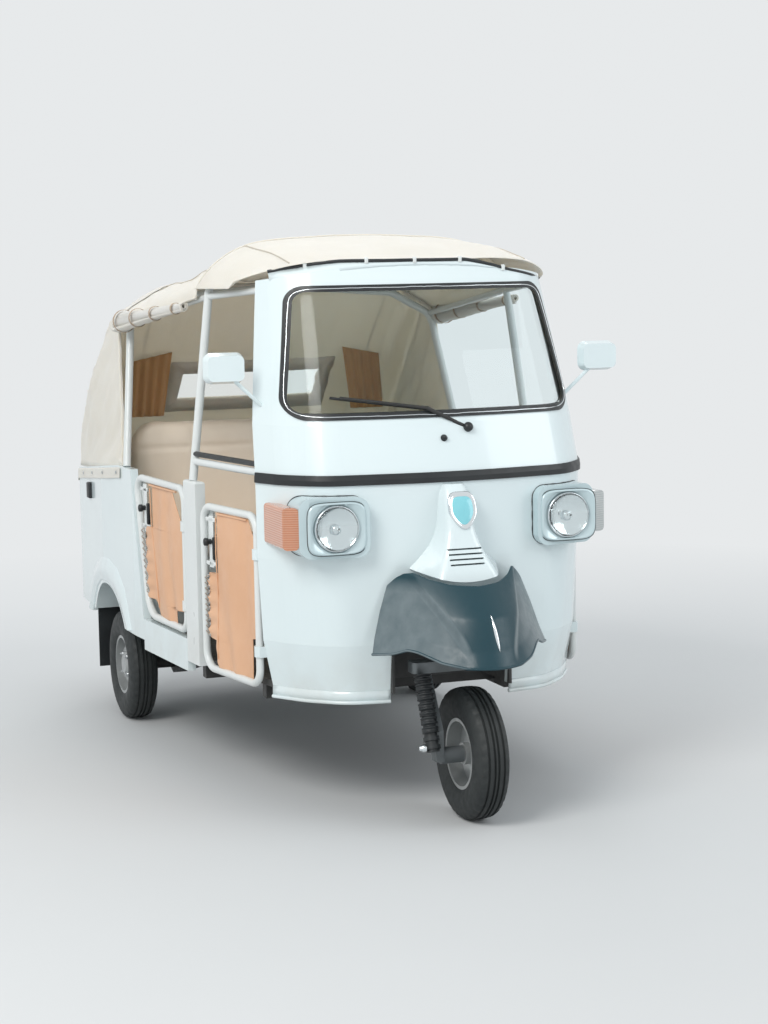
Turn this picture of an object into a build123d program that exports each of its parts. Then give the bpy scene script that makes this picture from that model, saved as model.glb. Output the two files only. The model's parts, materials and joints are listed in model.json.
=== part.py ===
from build123d import *
from math import cos, radians, sin, tan
import os

# Three-wheeled passenger taxi, in millimetres. Front faces -Y, left side +X, up +Z.
# The origin lies on the ground at the middle of the length and the width.

# Overall places
overall_length = 2870.0
front_overhang = 246.0
wheelbase = 1920.0
rear_track = 1170.0
front_axle_y = front_overhang - overall_length / 2
rear_axle_y = front_axle_y + wheelbase
tail_y = overall_length / 2 - 24.0

# Wheels
tyre_radius = 205.0
tyre_width = 108.0
rim_radius = 112.0
bead_radius = 104.0
rim_width = 84.0
rim_wall = 4.0
wheel_disc_radius = 64.0
hub_radius = 34.0
hub_length = 60.0
stub_radius = 14.0
running_gap = 0.05

# Heights
floor_top_z = 405.0
floor_thickness = 20.0
sill_z = floor_top_z - floor_thickness
belt_z = 1052.0
screen_base_z = 1215.0
screen_top_z = 1640.0
header_top_z = 1712.0
side_belt_z = 985.0
tail_belt_z = 900.0

# Cab front panel
panel_wall = 22.0
shoulder_radius = 190.0
brow_radius = 170.0
cab_front_radius = 1300.0

# Windscreen opening, a trapezoid seen from the front
screen_half_base = 492.0
screen_half_top = 430.0
screen_low_z = 1232.0
screen_corner = 62.0
seal_width = 20.0
glass_thickness = 6.0

# Front mudguard and the arch behind it
guard_wall = 6.0
guard_low_z = 508.0
guard_end_z = 806.0
guard_middle_z = 742.0
guard_top_half = 172.0
arch_half = 192.0
arch_top_z = 600.0
well_front = 116.0
well_back = 350.0
well_wall = 8.0

# Steering, whose axis leans back from the wheel
rake = 18.5
trail = 50.0
column_radius = 21.0
column_gap = 6.0
head_wall = 9.0
head_height = 56.0
running_gap = 0.3
crown_z = 450.0
crown_height = 34.0
bar_z = 1010.0
bar_half = 262.0
bar_sweep = 100.0
bar_radius = 12.0
leg_x = -104.0
leg_width = 26.0
link_lead = 96.0

# Side of the body: half widths at the doors, the quarters and the tail
a_post_half = 549.0
b_post_half = 622.0
quarter_half = 672.0
tail_half = 640.0
body_wall = 28.0
tail_corner = 130.0

# Doors, each a bent tube with a panel
door_tube = 12.5
door_panel_thickness = 9.0
door_gap = 8.0
door_corner = 52.0
door_base_z = sill_z + 6.0
front_door_start = 394.0
front_door_length = 396.0
front_door_height = 535.0
b_post_start = 820.0
b_post_end = 938.0
rear_door_start = 960.0
rear_door_foot = 404.0
rear_door_head = 516.0
rear_door_base_z = 482.0
rear_door_height = 481.0
hinge_height = 34.0
hinge_wall = 5.0
door_inset = 12.0
latch_width = 46.0
latch_height = 104.0
latch_thickness = 7.0

# Roof tubes and canvas
roof_tube = 14.0
canvas = 12.0
canvas_seat = 0.4
canopy_back = 948.0
b_hoop_place = 905.0
c_hoop_place = 1776.0
c_foot_place = 1625.0
b_hoop_half = 531.0
c_hoop_half = 590.0
valance = 46.0

# Rear wheel arches and engine lid
arch_radius = 314.0
house_inner = 492.0
house_wall = 6.0
lid_half = 400.0
lid_low_z = 452.0
lid_high_z = 800.0
lid_gap = 6.0
lid_hinge_x = 250.0
lid_hinge_y = tail_y + 8.5
lid_hinge_z = lid_high_z + lid_gap / 2
lid_knuckle = 7.0
lid_knuckle_half = 20.0
lid_ear_half = 12.0
lid_pin = 4.0
plate_pitch = 160.0
plate_hole = 3.5
plate_z = 416.0

# Bench box and the deck over the engine
bench_front = 1452.0
bench_wall = 12.0
bench_top_z = 640.0
rear_back_front = 1800.0
rear_back_depth = 138.0
bulkhead_place = rear_back_front + rear_back_depth + 2.0
deck_z = 818.0

# Chassis rails
rail_half = 300.0
rail_width = 44.0
rail_height = 64.0

os.makedirs("parts", exist_ok=True)


def from_axle(distance):
    # place along the vehicle, measured back from the front axle
    return front_axle_y + distance


def side_x(place):
    # the body's half width along its straight stretches
    stretches = [(372.0, a_post_half), (b_post_start, b_post_half), (1500.0, quarter_half)]
    for (start, low), (end, high) in zip(stretches, stretches[1:]):
        if place <= end:
            return low + (high - low) * (place - start) / (end - start)
    return quarter_half


def save(piece, label):
    piece.label = label
    export_step(piece, "parts/" + label + ".step")


def bent_tube(points, bend, radius):
    with BuildPart() as tube:
        with BuildLine() as path:
            FilletPolyline(*points, radius=bend)
        with BuildSketch(Plane(origin=path.line @ 0, z_dir=path.line % 0)):
            Circle(radius)
        sweep()
    return tube.part


def block(low, high):
    # a plain block between two corners
    size = [b - a for a, b in zip(low, high)]
    middle = [(a + b) / 2 for a, b in zip(low, high)]
    with BuildPart() as solid:
        with Locations(tuple(middle)):
            Box(*size)
    return solid.part


def both_sides(piece):
    # the piece and its mirror image across the middle plane
    with BuildPart() as pair:
        add(piece)
        mirror(about=Plane.YZ)
    return pair.part


# One level of the cab's plan, an open-backed bow: door edge, shoulder, brow and middle
def cab_level(height, half, back, shoulder, brow, front, inset):
    shoulder_x, shoulder_place = shoulder
    brow_x, brow_place = brow
    right = [
        (half - inset, from_axle(back)),
        (shoulder_x - inset * 0.9, from_axle(shoulder_place) + inset * 0.5),
        (brow_x - inset * 0.5, from_axle(brow_place) + inset * 0.8),
    ]
    left = [(-x, y) for x, y in reversed(right)]
    with BuildSketch(Plane.XY.offset(height)) as level:
        Polygon(*right, (0, from_axle(front) + inset), *left, align=None)
        ordered = level.vertices().sort_by(Axis.Y)
        middle, brows, shoulders = ordered[0], ordered[1:3], ordered[3:5]
        fillet(shoulders, shoulder_radius - inset)
        brows = [v for v in level.vertices() if any((v.center() - b.center()).length < 1 for b in brows)]
        fillet(brows, brow_radius - inset)
        middle = level.vertices().sort_by(Axis.Y)[0]
        fillet(middle, cab_front_radius)
    return level.sketch


# height, half width and place of the door edge, shoulder, brow, place of the middle
cab_levels = [
    (sill_z, 505.0, 372.0, (436.0, 262.0), (328.0, 160.0), 104.0),
    (540.0, 535.0, 372.0, (474.0, 253.0), (368.0, 142.0), 86.0),
    (800.0, 547.0, 372.0, (490.0, 249.0), (392.0, 138.0), 78.0),
    (belt_z, a_post_half, 372.0, (500.0, 248.0), (402.0, 140.0), 80.0),
    (screen_base_z, 542.0, 412.0, (490.0, 292.0), (390.0, 190.0), 132.0),
]
frame_levels = [
    (screen_base_z, 542.0, 412.0, (490.0, 292.0), (390.0, 190.0), 132.0),
    (1430.0, 516.0, 468.0, (466.0, 356.0), (370.0, 268.0), 214.0),
    (header_top_z, 480.0, 540.0, (440.0, 452.0), (350.0, 386.0), 345.0),
]


def cab_form(levels, inset):
    # an inner form runs on past the open back
    reach = 30.0 if inset > 0 else 0.0
    faces = [
        cab_level(z, half, back + reach, shoulder, brow, front, inset)
        for z, half, back, shoulder, brow, front in levels
    ]
    with BuildPart() as form:
        for face in faces:
            add(face)
        loft(ruled=True)
    return form.part


def screen_cutter(grow):
    # the windscreen's outline, drawn forward through the front wall
    with BuildPart() as cutter:
        with BuildSketch(Plane.XZ.offset(-from_axle(440.0))) as outline:
            Polygon(
                (-screen_half_base - grow, screen_low_z - grow),
                (screen_half_base + grow, screen_low_z - grow),
                (screen_half_top + grow, screen_top_z + grow),
                (-screen_half_top - grow, screen_top_z + grow),
                align=None,
            )
            fillet(outline.vertices(), screen_corner + grow)
        extrude(amount=700.0)
    return cutter.part


cab_outer = cab_form(cab_levels, 0.0)
cab_inner = cab_form(cab_levels, panel_wall)
frame_outer = cab_form(frame_levels, 0.0)
frame_inner = cab_form(frame_levels, panel_wall)


# Nose spine, from below the belt to the collar over the mudguard
# height, half width, half width of the crest, crest place from the front axle
spine_levels = [
    (1030.0, 46.0, 30.0, 74.0),
    (950.0, 62.0, 40.0, 34.0),
    (860.0, 84.0, 52.0, 8.0),
    (790.0, 150.0, 78.0, -22.0),
    (728.0, 196.0, 100.0, -46.0),
]
spine_back = 150.0


def spine_form():
    with BuildPart() as form:
        for height, half, crest, place in spine_levels:
            with BuildSketch(Plane.XY.offset(height)) as level:
                Polygon(
                    (-half, from_axle(spine_back)),
                    (-crest, from_axle(place)),
                    (crest, from_axle(place)),
                    (half, from_axle(spine_back)),
                    align=None,
                )
                fillet(level.vertices().sort_by(Axis.Y)[0:2], 24.0)
        loft()
        # the collar's lower edge bows down in the middle
        with BuildSketch(Plane.XZ.offset(-from_axle(300.0))):
            with BuildLine():
                ThreePointArc((-260, 862), (0, guard_middle_z), (260, 862))
                Polyline((260, 862), (260, 600), (-260, 600), (-260, 862))
            make_face()
        extrude(amount=700.0, mode=Mode.SUBTRACT)
    return form.part


spine = spine_form()

# Cab front panel with its spine, grille slits, arch and hinge lugs
slit_rows = 4
slit_pitch = 15.0
slit_z = 838.0
slit_width = 112.0
slit_height = 5.0
slit_depth = 60.0


def hinge_lugs(x, y, heights, reach):
    # collars round a door's front tube, with a tab forward to the post
    with BuildPart() as lugs:
        for z in heights:
            with BuildSketch(Plane.XY.offset(z)):
                with Locations((x, y)):
                    Circle(door_tube + hinge_wall)
                with Locations((x + door_tube / 2, y - reach / 2)):
                    Rectangle(door_tube * 2, reach)
            extrude(amount=hinge_height)
            with BuildSketch(Plane.XY.offset(z)):
                with Locations((x, y)):
                    Circle(door_tube + running_gap)
            extrude(amount=hinge_height, mode=Mode.SUBTRACT)
    return lugs.part


front_hinge_x = -(side_x(front_door_start) - door_inset)
front_hinge_y = from_axle(front_door_start)
front_lugs = (door_base_z + 92, door_base_z + 400)
front_hinges = hinge_lugs(front_hinge_x, front_hinge_y, front_lugs, 24.0)


def straight_tube(start, end, radius):
    direction = Vector(*end) - Vector(*start)
    with BuildPart() as tube:
        with BuildSketch(Plane(origin=start, z_dir=direction)):
            Circle(radius)
        extrude(amount=direction.length)
    return tube.part


arch_cutter = block(
    (-arch_half, from_axle(-300), sill_z - 10),
    (arch_half, from_axle(well_back), arch_top_z),
)
column_foot_y = from_axle(-trail)


def steering_point(z):
    # where the steering axis passes at a height
    return (0.0, column_foot_y + z * tan(radians(rake)), z)


def steering_shaft(radius, low_z, high_z):
    low = steering_point(low_z)
    high = steering_point(high_z)
    with BuildPart() as shaft:
        with BuildSketch(Plane(origin=low, z_dir=(0, sin(radians(rake)), cos(radians(rake))))):
            Circle(radius)
        extrude(amount=(high[2] - low[2]) / cos(radians(rake)))
    return shaft.part


with BuildPart() as cab_front:
    add(cab_outer)
    add(spine)
    add(cab_inner, mode=Mode.SUBTRACT)
    add(arch_cutter, mode=Mode.SUBTRACT)
    for row in range(slit_rows):
        with BuildSketch(Plane.XZ.offset(-from_axle(slit_depth))):
            with Locations((0, slit_z - row * slit_pitch)):
                SlotOverall(slit_width, slit_height)
        extrude(amount=200.0, mode=Mode.SUBTRACT)
    add(both_sides(front_hinges))
save(cab_front.part, "cab_front")

# Canvas roof over the cab, a shallow barrel with hanging edges
# place from the front axle, half width, edge height, crown height
canopy_levels = [
    (300.0, 486.0, 1670.0, 1706.0),
    (620.0, 540.0, 1672.0, 1780.0),
    (canopy_back, 568.0, 1668.0, 1803.0),
]
shoulder_share = 0.73
canopy_shoulder = 0.86
hood_shoulder = 0.78


def dome(half, edge, crown, shoulder, thick):
    # half width and height along a roof's section, from its side edge to the middle
    reach = shoulder_share * half
    rise = edge + (crown - edge) * shoulder
    return [(half - thick, edge - thick), (reach - thick / 2, rise - thick), (0.0, crown - thick)]


def round_dome(level, shoulder_round, crown_round):
    # rounds a section's shoulders and crown
    span = max(v.X for v in level.vertices())
    shoulders = [v for v in level.vertices() if 0.5 * span < abs(v.X) < 0.85 * span]
    fillet(shoulders, shoulder_round)
    fillet([v for v in level.vertices() if abs(v.X) < 1], crown_round)


def canopy_level(place, half, edge, crown):
    outer = [(half, edge - valance)] + dome(half, edge, crown, canopy_shoulder, 0.0)
    inner = dome(half, edge, crown, canopy_shoulder, canvas)[::-1] + [(half - canvas, edge - valance)]
    right = outer[:-1]
    left = [(-x, z) for x, z in reversed(right)]
    inner_left = [(-x, z) for x, z in reversed(inner[1:])]
    with BuildSketch(Plane.XZ.offset(-from_axle(place))) as level:
        Polygon(*right, outer[-1], *left, *inner_left, inner[0], *inner[1:], align=None)
        round_dome(level, 70.0, 1200.0)
    return level.sketch


def loft_through(faces):
    with BuildPart() as form:
        for face in faces:
            add(face)
        loft(ruled=True)
    return form.part


with BuildPart() as roof_space:
    # the space over the header, under the canvas's front edge
    with BuildSketch(Plane.XZ.offset(-from_axle(700))):
        with BuildLine():
            ThreePointArc((-494, 1656), (0, 1703), (494, 1656))
            Polyline((494, 1656), (560, 1656), (560, 1900), (-560, 1900), (-560, 1656), (-494, 1656))
        make_face()
    extrude(amount=600)

# Windscreen frame: pillars and header
with BuildPart() as screen_frame:
    add(frame_outer)
    add(frame_inner, mode=Mode.SUBTRACT)
    add(screen_cutter(0.0), mode=Mode.SUBTRACT)
    add(roof_space.part, mode=Mode.SUBTRACT)
save(screen_frame.part, "screen_frame")

# Windscreen glass and its rubber seal
glass_outer = cab_form(frame_levels, (panel_wall - glass_thickness) / 2)
glass_inner = cab_form(frame_levels, (panel_wall + glass_thickness) / 2)
with BuildPart() as windscreen:
    add(glass_outer)
    add(glass_inner, mode=Mode.SUBTRACT)
    add(screen_cutter(-seal_width), mode=Mode.INTERSECT)
save(windscreen.part, "windscreen")

seal_proud = cab_form(frame_levels, -4.0)
with BuildPart() as screen_seal:
    add(seal_proud)
    add(frame_inner, mode=Mode.SUBTRACT)
    add(screen_cutter(0.0), mode=Mode.INTERSECT)
    add(screen_cutter(-seal_width), mode=Mode.SUBTRACT)
save(screen_seal.part, "screen_seal")

# Black belt trim round the front
belt_height = 32.0
belt_proud = 6.0
belt_outer = cab_form(cab_levels, -belt_proud)
with BuildPart() as belt_trim:
    add(belt_outer)
    add(cab_outer, mode=Mode.SUBTRACT)
    add(block((-700, from_axle(-100), belt_z - belt_height / 2), (700, from_axle(368), belt_z + belt_height / 2)),
        mode=Mode.INTERSECT)
save(belt_trim.part, "belt_trim")

# Front mudguard, a hollow prow
# height, half width at the panel, half width of the crest, crest place from the front axle
guard_levels = [
    (guard_low_z, 312.0, 84.0, -front_overhang),
    (650.0, 250.0, 104.0, -170.0),
    (830.0, 168.0, 118.0, -14.0),
]
guard_back = 175.0


def guard_form(inset):
    with BuildPart() as form:
        for height, half, crest, place in guard_levels:
            with BuildSketch(Plane.XY.offset(height)) as level:
                Polygon(
                    (-half + inset, from_axle(guard_back)),
                    (-crest + inset / 2, from_axle(place) + inset),
                    (crest - inset / 2, from_axle(place) + inset),
                    (half - inset, from_axle(guard_back)),
                    align=None,
                )
                fillet(level.vertices().sort_by(Axis.Y)[0:2], 52.0)
        loft()
    return form.part


with BuildPart() as collar_void:
    with BuildSketch(Plane.XZ.offset(-from_axle(300.0))):
        with BuildLine():
            ThreePointArc((-260, 861.6), (0, guard_middle_z - canvas_seat), (260, 861.6))
            Polyline((260, 861.6), (260, 1000), (-260, 1000), (-260, 861.6))
        make_face()
    extrude(amount=700.0)
with BuildPart() as front_mudguard:
    add(guard_form(0.0))
    add(guard_form(guard_wall), mode=Mode.SUBTRACT)
    add(collar_void.part, mode=Mode.SUBTRACT)
    add(cab_outer, mode=Mode.SUBTRACT)
    add(block((-arch_half, from_axle(80), 400), (arch_half, from_axle(300), 700)), mode=Mode.SUBTRACT)
save(front_mudguard.part, "front_mudguard")

# Headlamps: housings, clear lenses and outer indicators
lamp_x = 384.0
lamp_z = 913.0
lamp_width = 212.0
lamp_height = 186.0
lamp_front = 84.0
lamp_back = 330.0
lens_radius = 68.0
lens_depth = 16.0
indicator_half = 536.0
indicator_height = 130.0


def lamp_block(width, height, corner, x, front, back):
    with BuildPart() as lamp:
        with BuildSketch(Plane.XZ.offset(-from_axle(back))):
            with Locations((x, lamp_z)):
                RectangleRounded(width, height, corner)
        extrude(amount=back - front)
    return lamp.part


with BuildPart() as lamp_face:
    # the housing's face sweeps back towards the outside
    with BuildSketch(Plane.XY.offset(lamp_z - 200)):
        with BuildLine():
            Polyline(
                (-620, from_axle(176)),
                (-460, from_axle(112)),
                (-260, from_axle(74)),
                (-260, from_axle(-60)),
                (-620, from_axle(-60)),
                close=True,
            )
        make_face()
    extrude(amount=400)
with BuildPart() as housing:
    add(lamp_block(lamp_width, lamp_height, 40.0, -lamp_x, lamp_front - 20, lamp_back))
    add(lamp_face.part, mode=Mode.SUBTRACT)
    with Locations(Location((-lamp_x, from_axle(lamp_front + lens_depth), lamp_z), (90, 0, 0))):
        Cylinder(lens_radius + running_gap, 200, align=(Align.CENTER, Align.CENTER, Align.MIN), mode=Mode.SUBTRACT)
    add(cab_outer, mode=Mode.SUBTRACT)
save(both_sides(housing.part), "headlamp_housings")

with BuildPart() as lens:
    with Locations(Location((-lamp_x, from_axle(lamp_front + lens_depth), lamp_z), (90, 0, 0))):
        Cylinder(lens_radius - 1, lens_depth + 4, align=(Align.CENTER, Align.CENTER, Align.MIN))
    front_edge = lens.edges().filter_by(GeomType.CIRCLE).sort_by(Axis.Y)[0]
    fillet(front_edge, 8.0)
save(both_sides(lens.part), "headlamp_lenses")

indicator_start = lamp_x + lamp_width / 2
for side, label in ((-1, "indicator_right"), (1, "indicator_left")):
    with BuildPart() as indicator:
        with BuildSketch(Plane.XZ.offset(-from_axle(lamp_back))):
            with Locations((-(indicator_start + indicator_half) / 2 - 0.2, lamp_z)):
                RectangleRounded(indicator_half - indicator_start, indicator_height, 14.0)
        extrude(amount=lamp_back - 120.0)
        add(lamp_face.part, mode=Mode.SUBTRACT)
        add(cab_outer, mode=Mode.SUBTRACT)
    lamp = indicator.part if side < 0 else mirror(indicator.part, about=Plane.YZ)
    save(lamp, label)

# Cab floor with the wheel well, out to the door posts and back under the rear seat
floor_back = 1440.0
floor_plan = [
    (-300.0, 170.0),
    (-350.0, 190.0),
    (-400.0, 238.0),
    (-450.0, 305.0),
    (-480.0, 345.0),
    (-500.0, 372.0),
    (-506.0, 380.0),
    (-585.0, b_post_start),
    (-618.0, floor_back),
]
with BuildPart() as cab_floor:
    with BuildSketch(Plane.XY.offset(sill_z)):
        right = [(x, from_axle(y)) for x, y in floor_plan]
        left = [(-x, y) for x, y in reversed(right)]
        Polygon(*right, *left, align=None)
    extrude(amount=floor_thickness)
    add(block(
        (-arch_half - well_wall, from_axle(70), sill_z),
        (arch_half + well_wall, from_axle(well_back) + well_wall, arch_top_z + well_wall),
    ))
    add(arch_cutter, mode=Mode.SUBTRACT)
    add(steering_shaft(column_radius + column_gap, 300, 760), mode=Mode.SUBTRACT)
    add(cab_front.part, mode=Mode.SUBTRACT)
    add(block((-700, from_axle(-400), 300), (700, from_axle(well_front), 700)), mode=Mode.SUBTRACT)
    # steering head on top of the well
    add(steering_shaft(column_radius + head_wall, arch_top_z + 2, arch_top_z + head_height))
    add(steering_shaft(column_radius + running_gap, arch_top_z - 20, arch_top_z + head_height + 20),
        mode=Mode.SUBTRACT)
save(cab_floor.part, "cab_floor")

# Chassis: two rails, outriggers and a bridge over the engine
rail_top_z = sill_z
rail_low_z = rail_top_z - rail_height
rail_tail_gap = 104.0
rail_back = overall_length - front_overhang - rail_tail_gap
outriggers = [(470.0, 505.0), (878.0, 590.0), (1400.0, 600.0)]
bridge_place = 1880.0
bridge_half = 470.0
bridge_size = 40.0
bridge_z = bench_top_z - bridge_size
tow_radius = 12.0
tow_thickness = 14.0
tow_z = 300.0
with BuildPart() as chassis:
    for side in (-1, 1):
        add(block(
            (side * rail_half - rail_width / 2, from_axle(well_back + 12), rail_low_z),
            (side * rail_half + rail_width / 2, from_axle(rail_back), rail_top_z),
        ))
        add(block(
            (side * rail_half - rail_width / 2, from_axle(bridge_place - 20), rail_top_z),
            (side * rail_half + rail_width / 2, from_axle(bridge_place + 20), bridge_z),
        ))
    for place, half in outriggers:
        add(block((-half, from_axle(place - 20), rail_low_z + 14), (half, from_axle(place + 20), rail_top_z)))
    add(block(
        (-bridge_half, from_axle(bridge_place - 20), bridge_z),
        (bridge_half, from_axle(bridge_place + 20), bridge_z + bridge_size),
    ))
    add(block(
        (-rail_half, from_axle(rail_back - 40), rail_low_z),
        (rail_half, from_axle(rail_back), rail_top_z),
    ))
    # towing eye
    add(block(
        (-tow_thickness / 2, from_axle(rail_back), tow_z - 31),
        (tow_thickness / 2, from_axle(rail_back + 60), tow_z + 62),
    ))
    with Locations(Location((0, from_axle(rail_back + 34), tow_z), (0, 90, 0))):
        Cylinder(tow_radius, 60, mode=Mode.SUBTRACT)
save(chassis.part, "chassis")

# Engine and gearbox, one plain block
with BuildPart() as engine:
    add(block((-215, from_axle(1960), 185), (215, from_axle(2440), 560)))
    fillet(engine.edges().filter_by(Axis.Y), 40)
save(engine.part, "engine")


# Door posts between the doors
post_depth = 34.0
post_top_z = 1000.0
with BuildPart() as door_post:
    with BuildSketch(Plane.XY.offset(sill_z)):
        Polygon(
            (-side_x(b_post_start), from_axle(b_post_start)),
            (-side_x(b_post_end), from_axle(b_post_end)),
            (-side_x(b_post_end) + post_depth, from_axle(b_post_end)),
            (-side_x(b_post_start) + post_depth, from_axle(b_post_start)),
            align=None,
        )
    extrude(amount=post_top_z - sill_z)
    fillet(door_post.edges().group_by(Axis.Z)[-1], 10)
rear_hinge_x = -(side_x(rear_door_start) - door_inset)
rear_hinge_y = from_axle(rear_door_start)
rear_lugs = (rear_door_base_z + 70, rear_door_base_z + 340)
rear_hinges = hinge_lugs(rear_hinge_x, rear_hinge_y, rear_lugs, 24.0)
with BuildPart() as door_posts:
    add(both_sides(door_post.part))
    add(both_sides(rear_hinges))
save(door_posts.part, "door_posts")


# Rear body: quarters, tail, wheel houses, bench box and deck
step_low_z = 350.0
step_top_z = 460.0
quarter_front_foot = 1388.0
quarter_front_head = 1512.0
rear_plan = [
    (side_x(1340.0), 1340.0),
    (quarter_half, 1500.0),
    (quarter_half + 6.0, 1960.0),
    (tail_half, 2625.0),
]


def rear_level(inset, low_z, high_z):
    with BuildPart() as form:
        with BuildSketch(Plane.XY.offset(low_z)) as level:
            right = [(-x + inset, from_axle(y)) for x, y in rear_plan[:-1]]
            right.append((-rear_plan[-1][0] + inset, tail_y - inset))
            left = [(-x, y) for x, y in reversed(right)]
            Polygon(*right, *left, align=None)
            fillet(level.vertices().sort_by(Axis.Y)[-2:], tail_corner - inset)
        extrude(amount=high_z - low_z)
    return form.part


belt_bend = 1700.0


def belt_height_at(y):
    # the belt is level along the quarters and then falls towards the tail
    fall = (side_belt_z - tail_belt_z) / (tail_y - from_axle(belt_bend))
    return side_belt_z - max(0.0, y - from_axle(belt_bend)) * fall


with BuildPart() as belt_line:
    # what lies above the belt
    with BuildSketch(Plane.YZ.offset(-900)):
        Polygon(
            (from_axle(1300), side_belt_z),
            (from_axle(belt_bend), side_belt_z),
            (tail_y + 100, belt_height_at(tail_y + 100)),
            (tail_y + 100, 1400),
            (from_axle(1300), 1400),
            align=None,
        )
    extrude(amount=1800)
with BuildPart() as door_line:
    # what lies ahead of the quarter's edge, which leans back with the door
    with BuildSketch(Plane.YZ.offset(-900)):
        Polygon(
            (from_axle(1200), sill_z - 50),
            (from_axle(quarter_front_foot), sill_z - 50),
            (from_axle(quarter_front_foot), sill_z),
            (from_axle(quarter_front_head), side_belt_z),
            (from_axle(quarter_front_head + 20), 1400),
            (from_axle(1200), 1400),
            align=None,
        )
    extrude(amount=1800)


def arch_drum(radius, inner, outer, low_z):
    # a drum over the rear wheel, cut off below
    with BuildPart() as drum:
        with BuildSketch(Plane.YZ.offset(-outer)):
            with Locations((rear_axle_y, tyre_radius)):
                Circle(radius)
            with Locations((rear_axle_y, low_z - radius)):
                Rectangle(radius * 3, radius * 2, mode=Mode.SUBTRACT)
        extrude(amount=outer - inner)
    return drum.part


arch_outer = arch_drum(arch_radius + house_wall, house_inner - house_wall, quarter_half - body_wall / 2, sill_z)
arch_space = arch_drum(arch_radius, house_inner, 720.0, sill_z - 20)
arch_cut = arch_drum(arch_radius, -720.0, 720.0, sill_z - 20)
with BuildPart() as wheel_house:
    add(arch_outer)
    add(arch_space, mode=Mode.SUBTRACT)
lid_space = block(
    (-lid_half - lid_gap, tail_y - 200, lid_low_z - lid_gap),
    (lid_half + lid_gap, tail_y + 60, lid_high_z + lid_gap),
)
# sill below the rear door, from the door post back to the quarter
sill_start = b_post_end + 0.3
sill_end = quarter_front_foot + 14.0
with BuildPart() as step_sill:
    with BuildSketch(Plane.XY.offset(step_low_z)):
        Polygon(
            (-side_x(sill_start), from_axle(sill_start)),
            (-side_x(sill_end), from_axle(sill_end)),
            (-side_x(sill_end) + body_wall, from_axle(sill_end)),
            (-side_x(sill_start) + body_wall, from_axle(sill_start)),
            align=None,
        )
    extrude(amount=step_top_z - step_low_z)
with BuildPart() as deck:
    add(rear_level(body_wall - 4, deck_z, deck_z + bench_wall))
    add(block((-900, from_axle(1000), 0), (900, from_axle(bulkhead_place), 1500)), mode=Mode.SUBTRACT)
with BuildPart() as rear_body:
    add(rear_level(0.0, sill_z, 1100.0))
    add(rear_level(body_wall, sill_z - 10, 1200.0), mode=Mode.SUBTRACT)
    add(belt_line.part, mode=Mode.SUBTRACT)
    add(door_line.part, mode=Mode.SUBTRACT)
    add(arch_cut, mode=Mode.SUBTRACT)
    add(both_sides(wheel_house.part))
    # bench box: front, top and the deck behind it
    add(block((-640, from_axle(bench_front), sill_z), (640, from_axle(bench_front) + bench_wall, bench_top_z)))
    add(block(
        (-640, from_axle(bench_front), bench_top_z),
        (640, from_axle(bulkhead_place) + bench_wall, bench_top_z + bench_wall),
    ))
    add(block(
        (-645, from_axle(bulkhead_place), bench_top_z),
        (645, from_axle(bulkhead_place) + bench_wall, deck_z + bench_wall),
    ))
    add(deck.part)
    add(lid_space, mode=Mode.SUBTRACT)
    add(both_sides(step_sill.part))
    # two holes for the plate holder
    with BuildSketch(Plane.XZ.offset(-(tail_y + 20))):
        with Locations((-plate_pitch / 2, plate_z), (plate_pitch / 2, plate_z)):
            Circle(plate_hole)
    extrude(amount=60, mode=Mode.SUBTRACT)
    # hinge knuckles and pins over the engine lid
    for side in (-1, 1):
        middle = side * lid_hinge_x
        add(block(
            (middle - lid_knuckle_half, tail_y - 1, lid_high_z + lid_gap),
            (middle + lid_knuckle_half, tail_y + 3, lid_hinge_z + 28),
        ))
        add(block(
            (middle - lid_knuckle_half, tail_y - 1, lid_high_z + lid_gap),
            (middle + lid_knuckle_half, lid_hinge_y, lid_high_z + lid_gap + 5),
        ))
        for reach, radius in ((lid_knuckle_half, lid_knuckle), (lid_knuckle_half + 2 * lid_ear_half, lid_pin)):
            add(straight_tube(
                (middle - reach, lid_hinge_y, lid_hinge_z),
                (middle + reach, lid_hinge_y, lid_hinge_z),
                radius,
            ))
save(rear_body.part, "rear_body")

# Roof canopy, its front edge following the header
with BuildPart() as header_plan:
    with BuildSketch(Plane.XY.offset(1500)):
        with BuildLine():
            ThreePointArc((-620, from_axle(505)), (0, from_axle(346)), (620, from_axle(505)))
            Polyline((620, from_axle(505)), (620, from_axle(1000)), (-620, from_axle(1000)), (-620, from_axle(505)))
        make_face()
    extrude(amount=400)
with BuildPart() as roof_canopy:
    add(loft_through([canopy_level(*row) for row in canopy_levels]))
    add(header_plan.part, mode=Mode.INTERSECT)
save(roof_canopy.part, "roof_canopy")

# Rear hood: a barrel roof that runs down to a raked back with a window
hood_front = canopy_back + 0.6
hood_drop = 0.125
hood_spread = 0.070
hood_half = 560.0
hood_edge = 1638.0
hood_crown = 1772.0
hood_end = 2700.0
hood_knee = (1822.0, 1664.0)
hood_foot_z = 800.0
hood_inset = 8.0
window_half = 335.0
window_low_z = 1130.0
window_high_z = 1330.0


def hood_level(place, inset):
    back = place - hood_front
    half = hood_half + hood_spread * back - inset
    edge = hood_edge - hood_drop * back - inset
    crown = hood_crown - hood_drop * back - inset
    with BuildSketch(Plane.XZ.offset(-from_axle(place))) as level:
        with BuildLine():
            foot = hood_foot_z - 4 * inset
            wide = quarter_half - hood_inset - inset
            right = [(wide, foot), (wide, tail_belt_z)] + dome(half, edge, crown, hood_shoulder, 0.0)
            left = [(-x, z) for x, z in reversed(right[:-1])]
            Polyline(*right, *left, close=True)
        make_face()
        shoulders = [v for v in level.vertices() if abs(abs(v.X) - shoulder_share * half) < 1]
        fillet(shoulders, 90.0)
        fillet([v for v in level.vertices() if abs(v.X) < 1], 1400.0)
    return level.sketch


hood_tail = tail_y - hood_inset


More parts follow.
